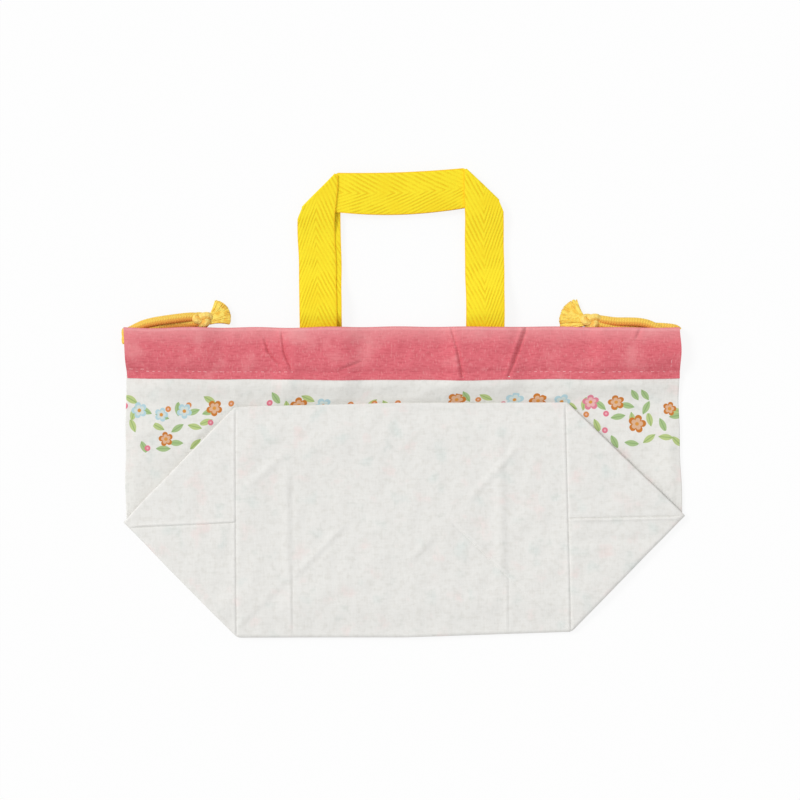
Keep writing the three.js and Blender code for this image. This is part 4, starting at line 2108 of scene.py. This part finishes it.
@dataclass
class Drawstrings:
    """The two cords: their tails with knot and tuft, their turns at the mouth's ends and their hidden runs."""

    finishes: Finishes
    width: float = 4.4
    height: float = 2.0
    back_level: float = 1.2
    front_level: float = 7.0
    mouth_level: float = 4.1
    knot_half: float = 4.7
    yarns: int = 330

    def build(self) -> None:
        """Make the tails, the turns and the runs."""
        for side in Side:
            knot, tuft = self.knot(side), self.tuft(side)
            self.strand(side, Strand.UPPER, [knot, tuft])
            self.strand(side, Strand.LOWER, [])
        for side in Side:
            self.turns(side)
        for wall in Wall:
            for side in Side:
                self.run(wall, side)

    def strand(self, side: Side, which: Strand, hung: list[Piece]) -> None:
        """One free strand of a tail.

        Args:
            side: The bag's side.
            which: The upper or the lower strand.
            hung: The pieces that hang on it; not used.
        """
        line = smooth_route(Route[f"{side.name}_{which.name}"].value, 46)
        # The oval's first side, which is painted as the cord's lit side, faces the handles, on either side of
        # the bag
        way = (0, 0, float(side.sign))
        name = f"cord_strand_{which.value}_{side.label}"
        strand = Tube(name, line, self.width, self.height, 20, flat=way).build()
        dress(strand, self.finishes.cord, [f"cord_tail_{which.value}_{side.label}"])
        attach(strand, f"cord_tail_{side.label}")
        self.width * MM

    def knot(self, side: Side) -> Piece:
        """The overhand knot that joins a side's two strands: a trefoil pulled tight.

        Args:
            side: The bag's side.

        Returns:
            The knot.
        """
        t = np.linspace(0, FULL_TURN, 97)
        loop = np.column_stack([np.sin(t) + 2 * np.sin(2 * t), np.cos(t) - 2 * np.cos(2 * t), -np.sin(3 * t)])
        line = loop * (1.3, 0.82, 0.95) + TAILS[side].knot
        knot = Tube(f"cord_knot_loop_{side.label}", line, 4.1, 3.7, 16, closed=True).build()
        dress(knot, self.finishes.knot, [f"cord_knot_{side.label}"])
        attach(knot, f"cord_tail_{side.label}")
        return knot

    def tuft(self, side: Side) -> Piece:
        """The frayed end beyond a knot: tapered yarns that fan out towards the handles.

        Args:
            side: The bag's side.

        Returns:
            The tuft.
        """
        tail = TAILS[side]
        rng = np.random.default_rng(tail.seed)
        grid, faces = take_mesh(add_roll(around=5, rows=7))
        turn, share = (grid[:, 0] + 0.5) * FULL_TURN, grid[:, 1] + 0.5
        thick = 0.42 * (1 - 0.5 * share**3)
        low, high, long = tail.fan
        root = self.knot_half - 1.2
        copies = []
        for _ in range(self.yarns):
            spread = rng.uniform(0, 1)
            angle = math.radians(low + (high - low) * spread) + 0.05 * rng.normal() * share
            reach = long * (0.95 + 0.05 * math.sin(math.pi * spread)) * rng.uniform(0.93, 1.0)
            height = rng.uniform(-1, 1)
            along = share * reach
            # The yarns leave the knot close together and part towards their tips
            begin = 2.3 * (2 * spread - 1)
            x = along * np.cos(angle) - thick * np.cos(turn) * np.sin(angle)
            y = begin * (1 - share) ** 2 + along * np.sin(angle) + thick * np.cos(turn) * np.cos(angle)
            z = height * (0.9 + 0.5 * np.sin(math.pi * share)) * (1 - 0.45 * share) + thick * np.sin(turn)
            places = (-side.sign * (x + root) + tail.knot[0], y + tail.knot[1], z + tail.knot[2] - 0.6)
            copies.append(np.column_stack(places))
        tuft = repeat_mesh(f"cord_fray_{side.label}", copies, faces)
        smooth(tuft, 80)
        dress(tuft, self.finishes.tuft, [f"cord_tuft_{side.label}"])
        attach(tuft, f"cord_tail_{side.label}")
        return tuft

    def turns(self, side: Side) -> None:
        """The turns round the mouth's open end, which show only on the left.

        Args:
            side: The bag's side.
        """
        levels = (
            (self.back_level, self.mouth_level),
            (self.mouth_level, self.front_level),
            (self.back_level, self.front_level - 0.6),
        )
        parts = []
        for index, ((row, reach), (low, high)) in enumerate(zip(TAILS[side].turns, levels)):
            middle, half = (low + high) / 2, (high - low) / 2
            angles = [math.radians(a) for a in range(-90, 91, 10)]
            line = [(side.sign * (reach - 4.0), row, low)]
            for a in angles:
                line.append((side.sign * (reach - 1.6 + 1.6 * math.cos(a)), row, middle + half * math.sin(a)))
            line += [(side.sign * (reach - 4.0), row, high)]
            # The line lies in an upright plane, so the oval's width runs along Y
            tube = Tube(f"turn_{index}", smooth_route(line, 34), 1.35, self.width, 16, flat=(0, 1, 0))
            parts.append(tube.build())
        turns = fuse(f"cord_turns_{side.label}", parts)
        nodes = [f"cord_{kind}_{side.label}" for kind in ("bend_upper", "bend_lower", "crossing")]
        dress(turns, self.finishes.cord, nodes)
        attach(turns, f"back_side_{side.label}")

    def run(self, wall: Wall, side: Side) -> None:
        """Half of the strands that run through a casing, passed to blend with its side wing.

        Args:
            wall: The wall that it is on.
            side: The bag's side.
        """
        front = wall is Wall.FRONT
        x = np.linspace(*sorted((side.sign * 0.1, side.sign * (HALF_FLAT - 0.3))), 60)
        parts = []
        for row in (146.6 if front else 151.4, 140.0):
            y = np.full_like(x, row)
            z = np.full_like(x, CASING_RISE + 0.75) - LAY.sink(x, y) if front else np.full_like(x, 0.75)
            u, v = LAY.beside(x, y)
            line = np.column_stack([u, v, z + LAY.swell(u, v)])
            parts.append(Tube("run", line, self.width, 0.7, 12).build())
        run = fuse(f"cord_run_{wall.value}_{side.label}", parts)
        nodes = [f"{wall.value}_side_cord_{which.value}_{side.label}" for which in Strand]
        nodes += [f"{wall.value}_cord_{which.value}" for which in Strand] if side is Side.LEFT else []
        dress(run, self.finishes.cord, nodes)
        side.bend(run, wall.value)


@dataclass
class Studio:
    """The plain pale floor, the soft light and the camera straight above."""

    target: Pair = (-2.75, 1.65)
    view_across: float = 400.0
    lens: float = 100.0
    sensor: float = 36.0
    sky: float = 0.68
    sun: float = 1.45

    def camera(self) -> None:
        """Look straight down from where the photograph was taken."""
        away = self.view_across * self.lens / self.sensor
        data = bpy.data.cameras.new("Camera above")
        data.lens, data.sensor_width = self.lens, self.sensor
        data.clip_start, data.clip_end = 0.01, 20
        camera = bpy.data.objects.new("Camera above", data)
        camera.location = (self.target[0] * MM, self.target[1] * MM, (away + 4) * MM)
        bpy.context.scene.collection.objects.link(camera)
        bpy.context.scene.camera = camera

    def light(self) -> None:
        """Level light from all round, with a soft key from the upper left."""
        nodes = Nodes(bpy.data.worlds.new("Studio light"))
        bpy.context.scene.world = nodes.owner
        level = nodes.add("Mix", {0: nodes.seen(), 2: self.sky, 3: 1.0})
        back = nodes.add("Background", {"Color": (1, 1, 1, 1), "Strength": level})
        nodes.add("OutputWorld", {"Surface": back})
        lamp = bpy.data.lights.new("Soft key", "SUN")
        lamp.energy, lamp.angle = self.sun, math.radians(20)
        key = bpy.data.objects.new("Soft key", lamp)
        key.rotation_mode = "QUATERNION"
        key.rotation_quaternion = Vector((0.8, -0.42, -0.9)).to_track_quat("-Z", "Y")
        bpy.context.scene.collection.objects.link(key)

    def floor(self) -> None:
        """A pale floor that keeps a faint shadow."""
        deselect()
        bpy.ops.mesh.primitive_plane_add(size=12, location=(0, 0, -0.0002))
        floor = bpy.context.active_object
        floor.name = "Floor"
        nodes = Nodes(bpy.data.materials.new("Pale studio floor"))
        matt = nodes.add("BsdfDiffuse", {"Color": (0.9, 0.9, 0.9, 1)})
        glow = nodes.add("Emission", {"Color": (1, 1, 1, 1), "Strength": 1.0})
        both = nodes.add("MixShader", {0: nodes.seen() * 0.88, 1: matt, 2: glow})
        nodes.add("OutputMaterial", {"Surface": both})
        floor.data.materials.append(nodes.owner)

    def build(self) -> None:
        """Set up the light and the floor."""
        self.light()
        self.floor()
        bpy.context.scene.view_settings.view_transform = "Standard"


def main() -> None:
    """Build the bag, piece by piece."""
    logging.basicConfig(level=logging.INFO, format="%(name)s %(message)s")
    studio = Studio()
    studio.camera()
    finishes = Finishes()
    Drawstrings(finishes).build()
    BoxedBottom(finishes).build()
    Walls(finishes).build()
    for facing in FACINGS:
        facing.build(finishes.plain)
    Casing(finishes).build()
    back = Handle(
        finishes, Wall.BACK, 3.1, 2.0, droop=(4.7, 5.1), arch=3.8, dive=0.0, lean=(0.6, 0.2), rolled=(0.0, 1.0)
    )
    back.build()
    Handle(finishes, Wall.FRONT, 5.1).build()
    studio.build()


if __name__ == "__main__":
    main()
